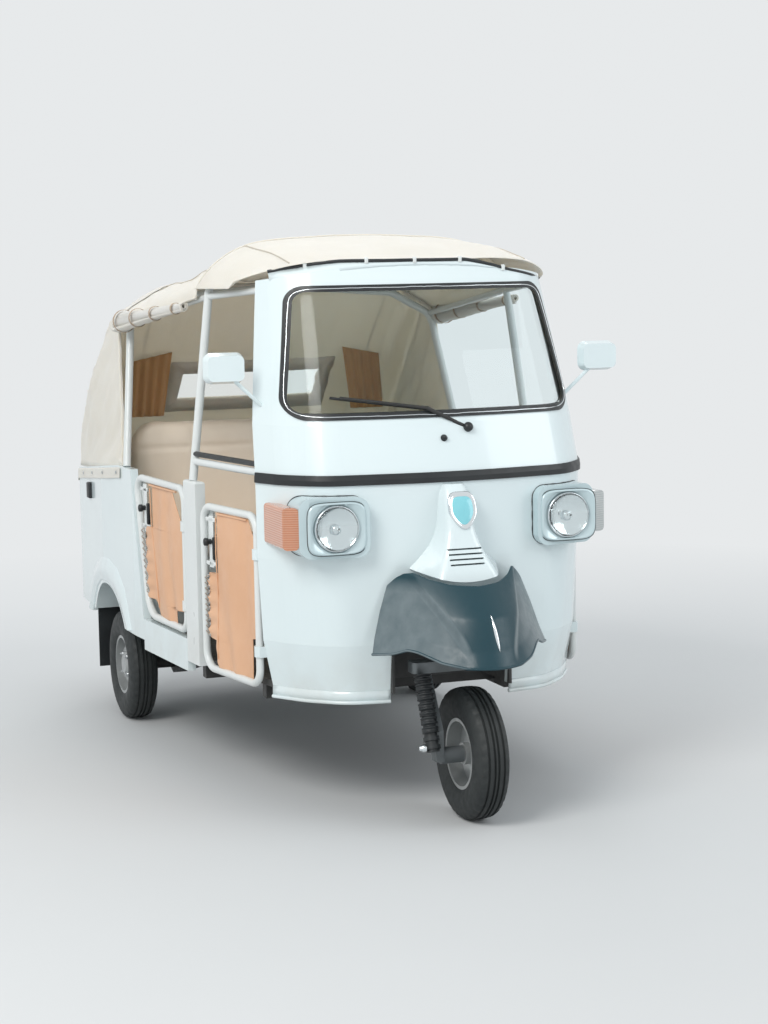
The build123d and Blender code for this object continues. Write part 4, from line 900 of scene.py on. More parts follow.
def flap_path():
    # plan of the belt, from the right C-post round the tail to the left one
    path = []
    for i in range(40):
        path.append((Vector((-BESIDE, from_axle(1.648) + 0.0242 * i * 0.98, 0)), Vector((1, 0, 0))))
    for i in range(1, 12):
        angle = math.pi / 2 * i / 12
        path.append((
            Vector((-0.55 - 1.2 * math.cos(angle), TAIL_Y - 0.125 + 1.2 * math.sin(angle), 0)),
            Vector((math.cos(angle), -math.sin(angle), 0)),
        ))
    half = list(path)
    for i in range(22):
        path.append((Vector((-0.53 + 1.06 * i / 21, 2.6, 0)), Vector(FORWARD)))
    for start, toward in reversed(half):
        path.append((Vector((-start.x, start.y, 0)), Vector((-toward.x, toward.y, 0))))
    return path


flap_columns = []
for start, toward in flap_path():
    column = []
    top = belt_z(min(TAIL_Y, start.y)) - 0.004
    for k, drop in enumerate(FLAP_DROPS):
        place, _ = meet(body_tree, (start.x, start.y, top - max(drop, 0.004)), toward)
        if place is None:
            continue
        lift = 0.0045 + 0.0035 * (k / 4) * (0.5 + 0.5 * math.sin(start.y * 31 + start.x * 27))
        column.append(place - toward * lift + Vector((0, 0, 0.004 if drop < 0.004 else 0.0)))
    if len(column) == len(FLAP_DROPS):
        flap_columns.append(column)
flap = grid_object("hood_flap", flap_columns)
make_sheet(flap, THIN_CANVAS, canvas,
           offset=1.0, levels=1)
STUD = [(0.0, 0.0055), (0.0015, 0.0055), (0.0028, 0.004), (0.0032, 0.0)]
studs = []
for column in flap_columns[2::9]:
    toward = (column[2] - Vector((0, min(column[2].y, 1.0), column[2].z))).normalized()
    studs.append(lathe("stud", STUD, column[2] + toward * 0.002, toward, steel, steps=14))
join("flap_studs", studs, steel)


# Rolled side curtains: spiral rolls that grow towards the rear, tied to the rails
def roll_rows(side):
    low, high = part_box("curtain_rolls")
    start = Vector((side * 0.602, low.y + 0.004, 1.572))
    end = Vector((side * 0.630, high.y + 0.004, 1.503))
    rows = []
    for k in range(49):
        t = k / 48
        middle = start.lerp(end, t)
        size = 0.016 + 0.026 * t ** 1.5
        flutter = 1 + 0.09 * noise.noise(Vector((k * 0.35, side * 3.0, 0.4)))
        line = []
        for j in range(66):
            turn = j / 65
            angle = side * (turn * 2.6 * 2 * math.pi) + 1.2
            radius = size * flutter * (0.34 + 0.66 * turn) * (1 + 0.06 * math.sin(3 * angle + k * 0.2))
            line.append(middle + Vector((math.cos(angle) * radius, 0, math.sin(angle) * radius)))
        rows.append(line)
    return rows


rolls = [grid_object("roll", roll_rows(side)) for side, _ in SIDES]
curtains = join("curtain_rolls_cloth", [thicken(roll, 0.0016) for roll in rolls], canvas)
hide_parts("curtain_rolls")
for side, label in SIDES:
    for number, share in enumerate((0.12, 0.42, 0.70, 0.93)):
        radius = 0.017 + 0.026 * share ** 1.5 + 0.0015
        middle = Vector((side * (0.602 + 0.028 * share), -0.220 + 0.803 * share, 1.572 - 0.069 * share))
        rows = [
            [middle + Vector((c * radius, y, s * radius)) for c, s in circle(20)]
            for y in (-0.008, 0.008)
        ]
        band = grid_object(f"roll_strap_{label}_{number}", rows, closed=True)
        thicken(band, 0.0012, offset=1.0)
        show(band, strap_tan)

# Seats: crowned pads with piping and sewn channels
CLOTH_VOXEL = 0.018
CLOTH_FRAMES = 20
CHANNEL_WIDTH = 0.011
WRINKLE = 0.0022
PIPING_CORNER = 0.035


def remesh(obj, voxel):
    modifier = obj.modifiers.new("remesh", "REMESH")
    modifier.mode = "VOXEL"
    modifier.voxel_size = voxel
    apply_modifiers(obj)


def swell(obj, cap):
    # inflates a block of cloth; no point moves further than the cap
    remesh(obj, CLOTH_VOXEL)
    start = [v.co.copy() for v in obj.data.vertices]
    cloth = obj.modifiers.new("cloth", "CLOTH")
    cloth.settings.use_pressure = True
    cloth.settings.uniform_pressure_force = 4.0
    cloth.settings.effector_weights.gravity = 0.0
    cloth.settings.quality = 3
    for number in range(1, CLOTH_FRAMES + 1):
        bpy.context.scene.frame_set(number)
    apply_modifiers(obj)
    bpy.context.scene.frame_set(1)
    for vertex, before in zip(obj.data.vertices, start):
        move = vertex.co - before
        if move.length > cap:
            vertex.co = before + move * (cap / move.length)
    obj.modifiers.new("smooth", "SUBSURF").levels = 1
    apply_modifiers(obj)


def pad_shape(name, low, high, round_by, crown):
    # a block with rounded edges, and rounder upper corners where a crown is given
    shape = bmesh.new()
    bmesh.ops.create_cube(shape, size=1.0)
    size = high - low
    bmesh.ops.scale(shape, vec=size, verts=shape.verts)
    if crown:
        corners = []
        for edge in shape.edges:
            first, second = [v.co for v in edge.verts]
            if abs(first.y - second.y) > size.y * 0.5 and first.z > 0:
                corners.append(edge)
        bmesh.ops.bevel(shape, geom=corners, offset=crown, segments=8, profile=0.5, affect="EDGES")
    long_edges = [e for e in shape.edges if e.calc_face_angle(0.0) > 0.6]
    bmesh.ops.bevel(shape, geom=long_edges, offset=round_by, segments=4, profile=0.6, affect="EDGES")
    bmesh.ops.translate(shape, vec=(low + high) / 2, verts=shape.verts)
    obj = object_from(name, shape)
    bpy.context.scene.collection.objects.link(obj)
    return obj


def press_channels(obj, lines, depth, face_axis, face_sign):
    # presses sewn lines into one face; each line gives a distance from a point
    for vertex in obj.data.vertices:
        nearest = min(line(vertex.co) for line in lines)
        vertex.co[face_axis] -= face_sign * depth * math.exp(-(nearest / CHANNEL_WIDTH) ** 2)


def make_pad(name, node, look, shrink, cap, lines, face=(2, 1), depth=0.006, crown=0.0):
    low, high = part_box(node)
    inset = Vector((shrink,) * 3)
    obj = pad_shape(name, low + inset, high - inset, min(0.035, min(high - low) * 0.38), crown)
    swell(obj, cap)
    press_channels(obj, lines, depth, *face)
    for vertex in obj.data.vertices:
        vertex.co = vertex.co + vertex.normal * (WRINKLE * rough_noise(vertex.co * 11))
        for i in range(3):
            vertex.co[i] = min(high[i] + 0.004, max(low[i] - 0.0002, vertex.co[i]))
    smooth_faces(obj.data)
    show(obj, look)
    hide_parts(node)


def piping(name, node, inset, level, axis, look, radius=0.004):
    # a rounded loop round a pad at one level of an axis
    low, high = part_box(node)
    a, b = [i for i in range(3) if i != axis]
    edge = inset + PIPING_CORNER
    points = []
    for sa, sb, start in ((1, 1, 0), (-1, 1, 90), (-1, -1, 180), (1, -1, 270)):
        ca = (high[a] - edge) if sa > 0 else (low[a] + edge)
        cb = (high[b] - edge) if sb > 0 else (low[b] + edge)
        for i in range(5):
            angle = math.radians(start + 22.5 * i)
            p = Vector((0, 0, 0))
            p[a] = ca + PIPING_CORNER * math.cos(angle)
            p[b] = cb + PIPING_CORNER * math.sin(angle)
            p[axis] = level
            points.append(p)
    curve_object(name, points, radius, look, cyclic=True)


def stripes(axis, places):
    return [lambda p, place=place: abs(p[axis] - place) for place in places]


bench_lines = stripes(0, (-0.36, -0.12, 0.12, 0.36))
driver_lines = stripes(0, (-0.17, 0.17))
make_pad("rear_seat_pad", "rear_seat_cushion", seat_cream, 0.010, 0.012,
         bench_lines + stripes(1, (0.33, 0.50)))
make_pad("rear_back_pad", "rear_seat_back", seat_cream, 0.010, 0.012, bench_lines + stripes(2, (1.03,)),
         (1, -1), crown=0.10)
make_pad("driver_seat_pad", "driver_cushion", seat_tan, 0.008, 0.010, driver_lines)
make_pad("driver_back_pad", "driver_back", seat_tan, 0.006, 0.008, driver_lines, (1, -1), 0.004)
piping("rear_seat_piping", "rear_seat_cushion", 0.004, 0.744, 2, seat_tan)
piping("driver_seat_piping", "driver_cushion", 0.003, 0.716, 2, seat_cream, 0.0035)
piping("driver_back_piping", "driver_back", 0.004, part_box("driver_back")[0].y + 0.012, 1, seat_cream, 0.0035)

# Half doors: vinyl stretched in the tube frame, laced at the rear edge, with a latch plate.
# Plan of the front and rear ends, then the lower and upper height
DOORS = {
    "front_door": ((0.541, -0.786), (0.604, -0.413), 0.400, 0.916),
    "rear_door": ((0.6205, -0.220), (0.6585, 0.263), 0.492, 0.953),
}
# Share of the height, share of the length: front and rear edges of the vinyl
FRONT_EDGES = {
    "front_door": [(0, 0.10), (0.255, 0.10), (0.265, 0.015), (0.86, 0.015), (0.985, 0.13), (1, 0.15)],
    "rear_door": [(0, 0.22), (0.10, 0.20), (0.11, 0.03), (0.72, 0.03), (0.97, 0.22), (1, 0.24)],
}
REAR_EDGES = {
    "front_door": [
        (0, 0.74), (0.04, 0.78), (0.175, 0.80), (0.185, 0.94), (0.60, 0.94), (0.61, 0.74), (1, 0.74),
    ],
    "rear_door": [
        (0, 0.70), (0.05, 0.74), (0.115, 0.80), (0.12, 0.93), (0.66, 0.94), (0.67, 0.70), (1, 0.68),
    ],
}
LACING = {"front_door": (0.20, 0.58), "rear_door": (0.14, 0.64)}
EYELET_GAPS = 11
EYELET = [(0, 0.003), (0.0012, 0.0032), (0.0016, 0.0045), (0.0010, 0.0058), (0, 0.006)]
KNOB = [(0, 0.009), (0.010, 0.009), (0.014, 0.013), (0.024, 0.013), (0.027, 0.009), (0.028, 0.0)]


def door_point(kind, side, share, height, out=0.0):
    (x0, y0), (x1, y1), z0, z1 = DOORS[kind]
    outward = Vector((y1 - y0, -(x1 - x0), 0)).normalized()
    # the rear door's rear edge leans back upward
    slant = 0.17 * (1 - height) * share if kind == "rear_door" else 0.0
    s = share - slant
    p = Vector((x0 + (x1 - x0) * s, y0 + (y1 - y0) * s, z0 + (z1 - z0) * height)) + outward * out
    p.x *= side
    return p


def vinyl_out(kind, share, height):
    # folds hang from the top edge, pull towards the lacing and bag a little at the middle
    fine_shift, broad_shift = (4.0, 1.0) if kind == "front_door" else (7.0, 5.0)
    bend = noise.noise(Vector((share * 2.1, height * 1.3, fine_shift)) * 1.1)
    upright = 0.0048 * math.sin(share * 17 + 3.5 * bend) * (0.35 + 0.65 * (1 - height))
    broad = 0.009 * noise.noise(Vector((share * 3.1, height * 1.9, broad_shift)))
    lace = 0.0035 * max(0.0, share - 0.70) / 0.25 * math.sin(height * 62)
    bag = 0.007 * math.sin(math.pi * min(1, max(0, share))) * math.sin(math.pi * height)
    return 0.001 + upright + broad * 0.7 + lace + bag * 0.6


def door_vinyl_rows(kind, side):
    low, high = LACING[kind]
    edges = FRONT_EDGES[kind] + REAR_EDGES[kind]
    rows = []
    for height in sorted({h for h, _ in edges} | {i / 110 for i in range(111)}):
        first = along(FRONT_EDGES[kind], height)
        last = along(REAR_EDGES[kind], height)
        if last > 0.90:
            # scallops between the eyelets
            last -= 0.016 * (1 - math.cos(2 * math.pi * (height - low) / (high - low) * EYELET_GAPS))
        line = []
        for j in range(49):
            share = first + (last - first) * j / 48
            line.append(door_point(kind, side, share, height, vinyl_out(kind, share, height)))
        rows.append(line)
    return rows


def lace_door(kind, side, body):
    # a cord between the eyelets in the vinyl's rear edge and the tube
    low, high = LACING[kind]
    heights = [low + (high - low) * i / (EYELET_GAPS * 2) for i in range(EYELET_GAPS * 2 + 1)]
    laces = [door_point(kind, side, 0.992 if i % 2 else 0.915, h, 0.006) for i, h in enumerate(heights)]
    curve_object(f"{body}_lacing", laces, 0.0016, strap_tan, body, smooth=False, sides=2)
    out = (door_point(kind, side, 0.9, 0.5, 0.01) - door_point(kind, side, 0.9, 0.5)).normalized()
    eyelets = [
        lathe("eyelet", EYELET, door_point(kind, side, 0.915, h, 0.0055), out, steel, body, 14)
        for h in heights[::2]
    ]
    join(f"{body}_eyelets", eyelets, steel, body)


def latch_door(kind, side, body):
    # latch plate in the cut-out above the lacing
    (x0, y0), (x1, y1), _, _ = DOORS[kind]
    turn = (0, 0, -math.atan2(side * (x1 - x0), y1 - y0))
    middle = door_point(kind, side, 0.855, 0.80, 0.002)
    plates = [block_object("plate", (0.005, 0.030, 0.17), middle, tube_white, body, 0.002, turn)]
    for height in (0.66, 0.94):
        place = door_point(kind, side, 0.87, height)
        plates.append(block_object("bar", (0.009, 0.070, 0.014), place, tube_white, body, 0.003, turn))
    lathe(f"{body}_latch_knob", KNOB, middle, (side, -0.1 * side, 0), rubber, body, 24)
    join(f"{body}_latch_plate", plates, tube_white, body)
    place = door_point(kind, side, 0.80, 0.76, 0.003)
    block_object(f"{body}_latch", (0.012, 0.012, 0.075), place, rubber, body, 0.004, turn)


def make_door(kind, side, label):
    body = f"{kind}_{label}"
    sheet = grid_object(f"{body}_vinyl", door_vinyl_rows(kind, side))
    make_sheet(sheet, 0.0022,
               door_vinyl, f"{kind}_panel_{label}", offset=0.0, body=body)
    lace_door(kind, side, body)
    # hem along the top edge and the seam beside the lacing
    top = [door_point(kind, side, 0.15 + 0.57 * i / 12, 0.985, 0.004) for i in range(13)]
    curve_object(f"{body}_top_hem", top, 0.004, door_vinyl, body)
    edge = 0.74 if kind == "front_door" else 0.70
    seam = []
    for i in range(21):
        height = 0.06 + 0.90 * i / 20
        seam.append(door_point(kind, side, edge + 0.02, height, vinyl_out(kind, edge, height) + 0.002))
    curve_object(f"{body}_seam", seam, 0.0022, door_vinyl, body)
    latch_door(kind, side, body)


for side, label in SIDES:
    for kind in DOORS:
        make_door(kind, side, label)

# Headlamps: dished bezel, chrome rim and bowl, ribbed glass and bulb cap
LAMP_X, LAMP_Y, LAMP_Z = 0.383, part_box("headlamp_lenses")[0].y, 0.913
HOUSING_X = 0.378
GLASS_RADIUS = 0.0665
LAMP_RIM = [(0.0, 0.0712), (-0.003, 0.0705), (-0.0045, 0.0688), (-0.003, 0.0668), (0.002, 0.0664)]
LAMP_BOWL = [(0.002, 0.0672), (0.006, 0.058), (0.011, 0.044), (0.0145, 0.028), (0.016, 0.012), (0.0163, 0.0)]
BULB_CAP = [(0.015, 0.016), (0.006, 0.0155), (0.002, 0.012), (0.0, 0.005), (-0.0002, 0.0)]


def bent(value, power):
    # keeps the sign; a power below one squares a circle's corners
    return math.copysign(abs(value) ** power, value)


def rounded_square(half_x, half_z, count=72):
    return [(half_x * bent(c, 0.4), half_z * bent(s, 0.4)) for c, s in circle(count)]


def round_points(radius, count=72):
    return [(radius * c, radius * s) for c, s in circle(count)]


def lamp_ring(side, outline, back):
    return [Vector((side * LAMP_X + x, LAMP_Y + back, LAMP_Z + z)) for x, z in outline]


BEZEL = (
    (rounded_square(0.0930, 0.0790), 0.010),
    (rounded_square(0.0930, 0.0790), -0.0015),
    (rounded_square(0.0905, 0.0765), -0.0045),
    (rounded_square(0.0860, 0.0740), -0.0040),
    (round_points(0.0745), 0.0035),
    (round_points(0.0715), 0.0060),
    (round_points(0.0700), 0.0120),
)
lamp_looks = {
    "glass": lens_glass,
    "bezels": silver,
    "rims": chrome,
    "bowls": chrome,
    "bulb_caps": chrome,
    "gaskets": rubber,
}
lamp_parts = {name: [] for name in lamp_looks}
for side, _ in SIDES:
    x = side * LAMP_X
    bezel = [lamp_ring(side, outline, back) for outline, back in BEZEL]
    lamp_parts["bezels"].append(grid_object("bezel", bezel, closed=True))
    for name, profile, forward, drop, steps in (
        ("rims", LAMP_RIM, 0.001, 0.0, 64),
        ("bowls", LAMP_BOWL, 0.0, 0.0, 64),
        ("bulb_caps", BULB_CAP, 0.0, 0.004, 32),
    ):
        centre = (x, LAMP_Y + forward, LAMP_Z - drop)
        lamp_parts[name].append(lathe(name, profile, centre, BACKWARD, chrome, steps=steps))
    rows = []
    for number in range(9):
        radius = GLASS_RADIUS * (1 - number / 8)
        bulge = -0.006 - 0.006 * (1 - (radius / GLASS_RADIUS) ** 2)
        rows.append(lamp_ring(side, round_points(max(radius, 0.0008)), bulge))
    glass = grid_object("glass", rows, closed=True)
    lamp_parts["glass"].append(thicken(glass, 0.002, offset=0.0))
    gasket = lamp_ring(side, rounded_square(0.0950, 0.0812, 48), 0.0015)
    lamp_parts["gaskets"].append(curve_object("gasket", gasket, 0.0011, rubber, cyclic=True, sides=2))
lamp_pieces = {name: join(f"headlamp_{name}", lamp_parts[name], look) for name, look in lamp_looks.items()}
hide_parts("headlamp_lenses")

# Front mudguard: a rounded nose between two flat side faces, with a bright spear on the nose.
# Height with half width, back and front; then heights of the top and the foot against the share across
GUARD_LEVELS = [
    (0.508, (0.302, 0.060, -0.240)), (0.650, (0.258, 0.084, -0.170)), (0.830, (0.190, 0.108, -0.014)),
]
GUARD_TOP = [
    (0.0, 0.738), (0.35, 0.743), (0.6, 0.757), (0.76, 0.773), (0.86, 0.768), (0.94, 0.752), (1.0, 0.728),
]
GUARD_FOOT = [
    (0.0, 0.510), (0.30, 0.512), (0.50, 0.524), (0.68, 0.548), (0.76, 0.552), (0.86, 0.536), (1.0, 0.526),
]


def guard_point(across, down):
    away = abs(across)
    z = along(GUARD_TOP, away) + (along(GUARD_FOOT, away) - along(GUARD_TOP, away)) * down
    half, back, front = [along([(level, value[i]) for level, value in GUARD_LEVELS], z) for i in range(3)]
    crease = 0.24 + 0.62 * (1 - down) ** 1.7
    nose = min(1.0, max(0.0, (crease + 0.05 - away) / 0.11))
    nose = nose * nose * (3 - 2 * nose)
    bow = away ** 1.9
    y = front + (back - front) * bow - 0.020 * nose * math.sin(math.pi * min(1.0, 0.15 + down * 0.85))
    flare = 0.010 * max(0.0, down - 0.8) / 0.2
    return Vector((across * half * (1 - 0.03 * (1 - nose)), from_axle(y) - flare, z))


guard_rows = [[guard_point(-1 + 2 * j / 120, i / 48) for j in range(121)] for i in range(49)]
guard_shell = grid_object("mudguard_shell", relax(guard_rows, 2))
thicken(guard_shell, 0.004, offset=0.0, levels=1)
show(guard_shell, guard)
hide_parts("front_mudguard")
spear_top, spear_foot = [guard_point(*spot) + Vector((0, -0.004, 0)) for spot in ((0.02, 0.34), (0.05, 0.80))]
spear_line = spear_foot - spear_top
spear = [(spear_line.length * i / 20, 0.0065 * math.sin(math.pi * i / 20) ** 0.8) for i in range(21)]
lathe("mudguard_spear", spear, spear_top, spear_line, chrome, steps=20)
curve_object("mudguard_rolled_edge", [guard_point(-1 + 2 * j / 60, 1.0) for j in range(61)], 0.0042, guard)

# Dark joint round each headlamp housing, and the rolled lower edge of the cab
cab_tree = skin("cab_front")
housing_tree = skin("headlamp_housings")


def lamp_joint(side):
    # on the cab, just inside the last rays that still meet the housing
    joint = []
    for c, s in circle(72):
        last = None
        for step in range(20, 90):
            spot = (side * HOUSING_X + c * step * 0.002, LAMP_Z + s * step * 0.002)
            if meet_front(housing_tree, *spot) is not None:
                last = spot
        place = meet_front(cab_tree, *last) if last else None
        if place is not None:
            joint.append(place + Vector((0, -0.001, 0)))
    return joint


for side, label in SIDES:
    curve_object(f"lamp_joint_{label}", lamp_joint(side), 0.0030, rubber)
    skirt = [[], [], []]
    hem = []
    for i in range(31):
        x = side * (0.186 + (0.556 - 0.186) * i / 30)
        place = meet_front(cab_tree, x, 0.394)
        if place is not None and place.y < -0.80:
            for line, drop in zip(skirt, (0.0, 0.018, 0.034)):
                line.append(place + Vector((0, -0.0012 + 0.12 * drop, -drop)))
            hem.append(place + Vector((0, 0.003, -0.036)))
    lower_skirt = grid_object(f"cab_skirt_{label}", skirt)
    thicken(lower_skirt, 0.002, offset=0.0)
    show(lower_skirt, white)
    curve_object(f"cab_hem_{label}", hem, 0.0060, white)

# Badge plate: a plain shield with a raised rim and nothing on its face
BADGE_X, BADGE_Z = 0.009, 0.952
shield = []
for c, s in circle(60):
    half = 0.046 * (1.0 if s > 0 else 1 - 0.42 * (-s) ** 1.6)
    power = 0.52 if s > 0 else 0.85
    shield.append((half * bent(c, power), 0.057 * bent(s, power + 0.1)))


def badge_points(scale, lift):
    points = []
    for x, z in shield:
        place = meet_front(cab_tree, 0.0, BADGE_Z + z * scale)
        points.append(Vector((BADGE_X + x * scale, place.y - lift + 1.5 * (x * scale) ** 2, place.z)))
    return points


# Scale of the shield and lift off the nose, ring by ring
BADGE_RINGS = {
    "badge_rim": (chrome, (
        (1.0, -0.016), (1.0, 0.002), (0.95, 0.005), (0.84, 0.005), (0.78, 0.002), (0.74, 0.0015),
    )),
    "badge_face": (badge_blue, (
        (0.77, 0.001), (0.62, 0.0025), (0.45, 0.0032), (0.2, 0.0035), (0.01, 0.0036),
    )),
}
for name, (look, rings) in BADGE_RINGS.items():
    show(grid_object(name, [badge_points(*values) for values in rings], closed=True), look)

# Washer nozzle under the windscreen
NOZZLE = [(0.0, 0.011), (0.004, 0.0105), (0.009, 0.007), (0.013, 0.0045), (0.015, 0.0)]
lathe("washer_nozzle", NOZZLE, meet_front(cab_tree, -0.012, 1.168), (0, -1, 0.35), rubber, steps=24)

# Windscreen: a bright line let into the seal
SCREEN_MIDDLE_Z = 1.436
seal_tree = skin("screen_seal")
bright = []
for c, s in circle(120):
    met = []
    for step in range(90, 320):
        radius = step * 0.002
        place = meet_front(seal_tree, c * radius, SCREEN_MIDDLE_Z + s * radius)
        if place is not None:
            met.append(place)
        elif met:
            break
    if met:
        bright.append(met[len(met) // 2] + Vector((0, -0.0012, 0)))
curve_object("screen_bright_line", bright, 0.0015, chrome, cyclic=True)

# Header bead with pale studs where the canvas meets the windscreen frame
HEADER_LINE = [
    (-0.489, 1.685), (-0.369, 1.707), (-0.211, 1.726), (-0.061, 1.729),
    (0.081, 1.727), (0.242, 1.712), (0.37, 1.688), (0.486, 1.664),
]
HEADER_REACH = 1.4
header_tree = skin("screen_frame")
header_cloth = surface_of(canopy)
bead = []
for i in range(57):
    x = -0.487 + 0.974 * i / 56
    z = along(HEADER_LINE, x)
    best = None
    for drop in range(40):
        place = meet_front(header_cloth, x, z - 0.0015 * drop, HEADER_REACH)
        if place is not None:
            best = place
    if best is None:
        best = meet_front(header_tree, x, z - 0.02, HEADER_REACH)
    if best is not None:
        bead.append(best + Vector((0, -0.003, -0.001)))
smooth_bead = []
for i in range(len(bead)):
    near = bead[max(0, i - 3):i + 4]
    smooth_bead.append(sum(near, Vector()) / len(near))
curve_object("header_bead", smooth_bead, 0.0055, rubber)
cap_rows = [[], [], []]
for p in smooth_bead:
    drops = (meet_front(header_tree, p.x * 0.995, p.z - 0.0015 * drop, HEADER_REACH) for drop in range(60))
    place = next((hit for hit in drops if hit is not None), None)
    if place is not None:
        top = place + Vector((0, -0.0015, -0.006))
        for line, share in zip(cap_rows, (0.0, 0.5, 1.0)):
            middle = (p + Vector((0, 0.002, -0.002))).lerp(top, share)
            line.append(middle + Vector((0, -0.003 * math.sin(math.pi * share), 0)))
header_cap = grid_object("header_cap", cap_rows)
thicken(header_cap, 0.002, offset=0.0)
show(header_cap, white)
clips = []
for x in (-0.347, -0.180, -0.023, 0.134, 0.300, 0.440):
    p = min(smooth_bead, key=lambda q: abs(q.x - x))
    place = p + Vector((0, -0.002, 0))
    clips.append(block_object("clip", (0.012, 0.012, 0.020), place, tube_white, bevel=0.003))
join("header_clips", clips, tube_white)

# Wiper blade with its rubber and yoke
WIPER_ELBOW = Vector((-0.060, from_axle(0.150), 1.262))
WIPER_TIP = Vector((-0.330, from_axle(0.186), 1.300))
WIPER_HUB = [(0.0, 0.015), (0.008, 0.015), (0.014, 0.012), (0.017, 0.006), (0.018, 0.0)]
screen_tree = skin("windscreen", "screen_seal")
blade = []
for i in range(24):
    p = WIPER_ELBOW.lerp(WIPER_TIP, -0.02 + 1.10 * i / 23)
    place = meet_front(screen_tree, p.x, p.z - 0.004)
    if place is not None:
        blade.append(place + Vector((0, -0.007, 0)))
curve_object("wiper_blade", blade, 0.0045, rubber)
curve_object("wiper_rubber", [p + Vector((0, 0.004, -0.001)) for p in blade], 0.0024, rubber)
lathe("wiper_hub", WIPER_HUB, (0.072, from_axle(0.142), 1.197), (0, -1, 0.4), rubber, steps=28)

# Tyres with ribbed tread, and wheel nuts: body, tyre and rim, axle's middle in plan, side the nuts face
WHEELS = {
    "front": ("front_wheel", "front_tyre", "front_rim", (0.012, FRONT_AXLE_Y), -1),
    "rear_right": ("rear_wheel_right", "rear_tyre_right", "rear_rim_right", (-0.585, REAR_AXLE_Y), -1),
    "rear_left": ("rear_wheel_left", "rear_tyre_left", "rear_rim_left", (0.585, REAR_AXLE_Y), 1),
}
# Across and radius: the outer half, whose mirror image follows it, then the inside
TYRE_HALF = [
    (-0.036, 0.1045), (-0.044, 0.112), (-0.0505, 0.128), (-0.0537, 0.148), (-0.0532, 0.164), (-0.0500, 0.179),
    (-0.0455, 0.190), (-0.0420, 0.1965), (-0.036, 0.2005), (-0.0285, 0.2025), (-0.0265, 0.1975),
    (-0.0225, 0.1977), (-0.0205, 0.2037), (-0.0100, 0.2047), (-0.0080, 0.1985), (-0.0040, 0.1985),
    (-0.0022, 0.2048),
]
TYRE_INSIDE = [(0.034, 0.108), (0.020, 0.190), (-0.020, 0.190), (-0.034, 0.108)]
TYRE_PROFILE = TYRE_HALF + [(-x, r) for x, r in reversed(TYRE_HALF)] + TYRE_INSIDE
NUT = [(0.0, 0.0085), (0.009, 0.0085), (0.011, 0.006), (0.011, 0.004), (0.015, 0.004), (0.016, 0.0)]
NUT_CIRCLE = 0.048


def tyre_rows(centre):
    rows = []
    for i, (c, s) in enumerate(circle(180)):
        notch = 0.0030 if i % 5 in (0, 1) else 0.0
        line = []
        for x, r in TYRE_PROFILE:
            radius = r - notch if 0.030 < abs(x) < 0.0450 and r > 0.185 else r
            line.append(centre + Vector((x, radius * c, radius * s)))
        rows.append(line)
    return rows


for label, (body, tyre_node, rim_node, plan, away) in WHEELS.items():
    centre = Vector((*plan, TYRE_RADIUS))
    tyre = grid_object(f"{label}_tyre_tread", tyre_rows(centre), closed=True, wrap=True)
    tyre.modifiers.new("edges", "EDGE_SPLIT").split_angle = math.radians(38)
    apply_modifiers(tyre)
    show(tyre, tyre_rubber, body)
    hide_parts(tyre_node)
    rim_tree = skin(rim_node)
    nuts = []
    for i in range(4):
        angle = math.pi / 4 + math.pi / 2 * i
        spot = centre + Vector((away * 0.3, NUT_CIRCLE * math.cos(angle), NUT_CIRCLE * math.sin(angle)))
        place, _ = meet(rim_tree, spot, (-away, 0, 0), 0.5)
        if place is not None:
            nuts.append(lathe("nut", NUT, place, (away, 0, 0), steel, body, 6))
    join(f"{label}_wheel_nuts", nuts, steel, body)

# Front leg: rubber bellows over the damper, and its lower nut
DAMPER_NUT = [(0.0, 0.012), (0.010, 0.012), (0.013, 0.008), (0.020, 0.008), (0.021, 0.0)]
low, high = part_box("front_damper")
bellows_top = Vector(((low.x + high.x) / 2, high.y - 0.024, high.z - 0.004))
bellows_foot = Vector(((low.x + high.x) / 2, low.y + 0.022, low.z + 0.020))
span = bellows_foot - bellows_top
bellows_length = span.length * 0.80
profile = [(0.0, 0.012)]
for i in range(75):
    t = i / 74
    profile.append((t * bellows_length, 0.0245 + 0.0042 * math.cos(2 * math.pi * t * 12) - 0.002 * t))
profile.append((bellows_length, 0.012))
lathe("damper_bellows", profile, bellows_top, span, rubber, "steering", 40)
nut_place = Vector((low.x + 0.001, bellows_foot.y, bellows_foot.z))
lathe("damper_nut", DAMPER_NUT, nut_place, (-1, 0, 0), chrome, "steering", 6)

# Wheel arch mouldings: raised lips that follow the arches.
# Place behind the front axle and height, from behind the wheel to the sill
ARCH_OUTER = [
    (2.330, 0.372), (2.255, 0.470), (2.150, 0.560), (2.020, 0.612), (1.880, 0.622),
    (1.750, 0.600), (1.650, 0.540), (1.590, 0.450), (1.560, 0.392),
]
ARCH_INNER = [
    (2.232, 0.368), (2.190, 0.415), (2.110, 0.482), (2.010, 0.519), (1.900, 0.524),
    (1.800, 0.505), (1.720, 0.462), (1.650, 0.410), (1.620, 0.388),
]


def arch_point(line, t):
    k = min(int(t), len(line) - 2)
    return Vector((0, *line[k])).lerp(Vector((0, *line[k + 1])), t - k)


def arch_rows(side):
    rows = []
    for i in range(61):
        t = i / 60 * (len(ARCH_OUTER) - 1)
        outer = arch_point(ARCH_OUTER, t)
        inner = arch_point(ARCH_INNER, t)
        line = []
        for j in range(11):
            s = j / 10
            p = outer.lerp(inner, s)
            place, _ = meet(body_tree, (side * 1.4, from_axle(p.y), max(p.z, 0.390)), (-side, 0, 0), 0.9)
            x = 0.672 if place is None or abs(place.x) < 0.6 else abs(place.x)
            bulge = 0.0008 + 0.010 * math.sin(math.pi * min(1.0, s * 1.15) * 0.86) ** 1.2 if s > 0 else -0.001
            line.append(Vector((side * (x + bulge), from_axle(p.y), max(p.z, 0.352))))
        line.append(line[-1] + Vector((-side * 0.030, 0, 0.0)))
        rows.append(line)
    return rows


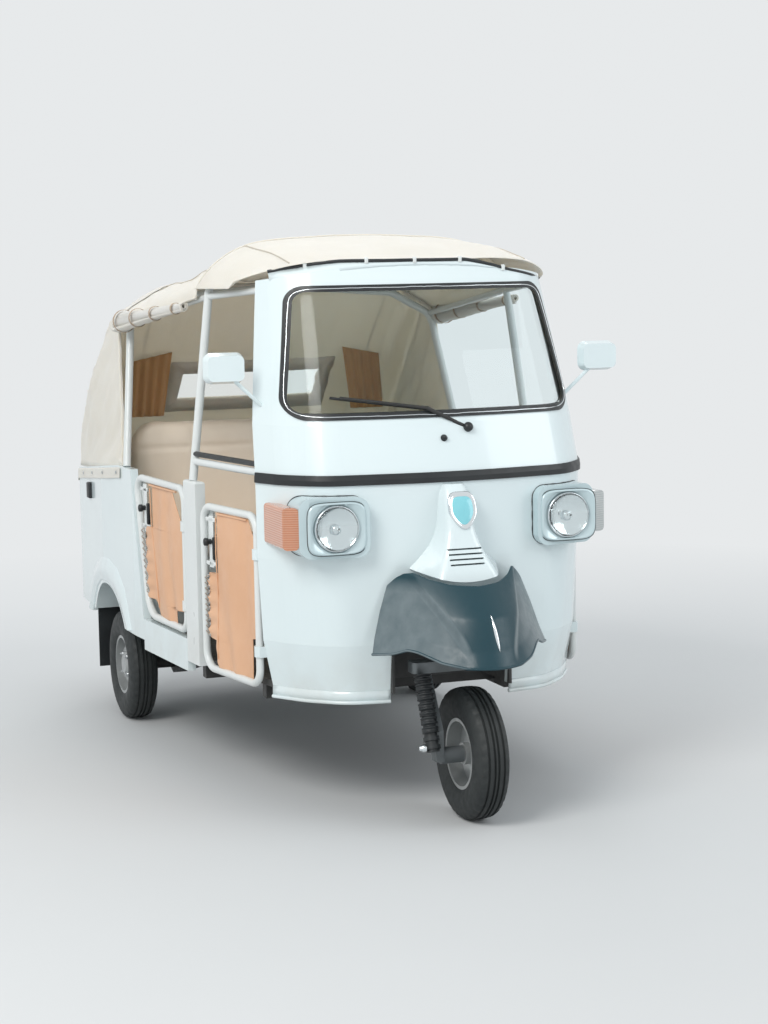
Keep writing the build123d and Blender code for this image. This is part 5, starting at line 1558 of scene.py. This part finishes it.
for side, label in SIDES:
    arch = grid_object(f"arch_moulding_{label}", arch_rows(side))
    thicken(arch, 0.002, levels=1)
    show(arch, white)

# Black latch on each quarter, bands on the grab rails, and handlebar grips
RAIL_BAND = ((0.523, 0.388, 1.064), (0.566, 0.62, 1.063), (0.602, 0.862, 1.064))
for side, label in SIDES:
    place, _ = meet(body_tree, (side * 1.4, from_axle(2.207), 0.845), (-side, 0, 0))
    place += Vector((side * 0.006, 0, 0))
    block_object(f"quarter_latch_{label}", (0.016, 0.045, 0.062), place, rubber, bevel=0.006)
    rail = [Vector((side * x, from_axle(y), z)) for x, y, z in RAIL_BAND]
    curve_object(f"rail_band_{label}", rail, 0.0125, tube_white)
low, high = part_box("handlebar")
GRIP_RIBS = [(i * 0.0040, 0.0182 + 0.0011 * math.cos(math.pi * i)) for i in range(28)]
GRIP = [(0.0, 0.006)] + GRIP_RIBS + [(0.110, 0.006)]
for side, label in SIDES:
    place = Vector((side * (high.x + 0.0005), high.y - 0.017, 1.010))
    lathe(f"grip_{label}", GRIP, place, (-side, 0, 0), rubber, "steering", 32)

# Stage: a pale floor that fades into an even backdrop, soft lamps and a plain sky
BACKDROP = (0.80, 0.82, 0.83)


def seen_directly(tree):
    # one for rays from the eye, in mirrors and through glass
    path = add_node(tree, "ShaderNodeLightPath").outputs
    seen = compute(tree, "MAXIMUM", path["Is Camera Ray"], path["Is Glossy Ray"])
    return compute(tree, "MAXIMUM", seen, path["Is Transmission Ray"])


def stage_material():
    mat, tree, shader = shader_material("studio_floor", Roughness=0.9, Specular_IOR_Level=0.1)
    tone = clouded(tree, 0.6, (0.63, 0.645, 0.65), (0.615, 0.63, 0.635))
    tree.links.new(tone, shader.inputs["Base Color"])
    far = add_node(tree, "ShaderNodeVectorMath", operation="LENGTH")
    tree.links.new(object_place(tree), far.inputs[0])
    fade = spread(tree, far.outputs["Value"], 0.0, 1.0, 2.4, 5.5)
    even = add_node(tree, "ShaderNodeEmission", {"Color": (*BACKDROP, 1.0)})
    blend = add_node(tree, "ShaderNodeMixShader")
    tree.links.new(compute(tree, "MULTIPLY", fade, seen_directly(tree)), blend.inputs[0])
    tree.links.new(shader.outputs["BSDF"], blend.inputs[1])
    tree.links.new(even.outputs["Emission"], blend.inputs[2])
    tree.links.new(blend.outputs["Shader"], tree.nodes["Material Output"].inputs["Surface"])
    return mat


def build_floor():
    shape = bmesh.new()
    bmesh.ops.create_grid(shape, x_segments=2, y_segments=2, size=40.0)
    floor = object_from("floor", shape)
    bpy.context.scene.collection.objects.link(floor)
    floor.data.materials.append(stage_material())


def area_lamp(name, place, target, size, power, color=(1.0, 1.0, 1.0)):
    data = bpy.data.lights.new(name, "AREA")
    data.shape = "RECTANGLE"
    data.size, data.size_y = size
    data.energy = power
    data.color = color
    lamp = bpy.data.objects.new(name, data)
    lamp.location = place
    aim(lamp, target)
    bpy.context.scene.collection.objects.link(lamp)


build_floor()
area_lamp("key", (-4.5, -4.0, 5.5), (0, -0.2, 0.7), (3.0, 3.0), 262.0, (1.0, 0.98, 0.95))
area_lamp("fill", (5.0, -4.5, 3.5), (0, -0.2, 0.9), (3.5, 3.5), 90.0, (0.95, 0.98, 1.0))
area_lamp("back", (1.0, 6.0, 5.0), (0, 0.4, 0.9), (4.0, 3.0), 130.0)
world = bpy.data.worlds.new("studio")
bpy.context.scene.world = world
world.use_nodes = True
sky = world.node_tree.nodes["Background"]
tones = mix_color(world.node_tree, seen_directly(world.node_tree), (0.70, 0.725, 0.745), BACKDROP)
world.node_tree.links.new(tones, sky.inputs["Color"])
sky.inputs["Strength"].default_value = 1.0
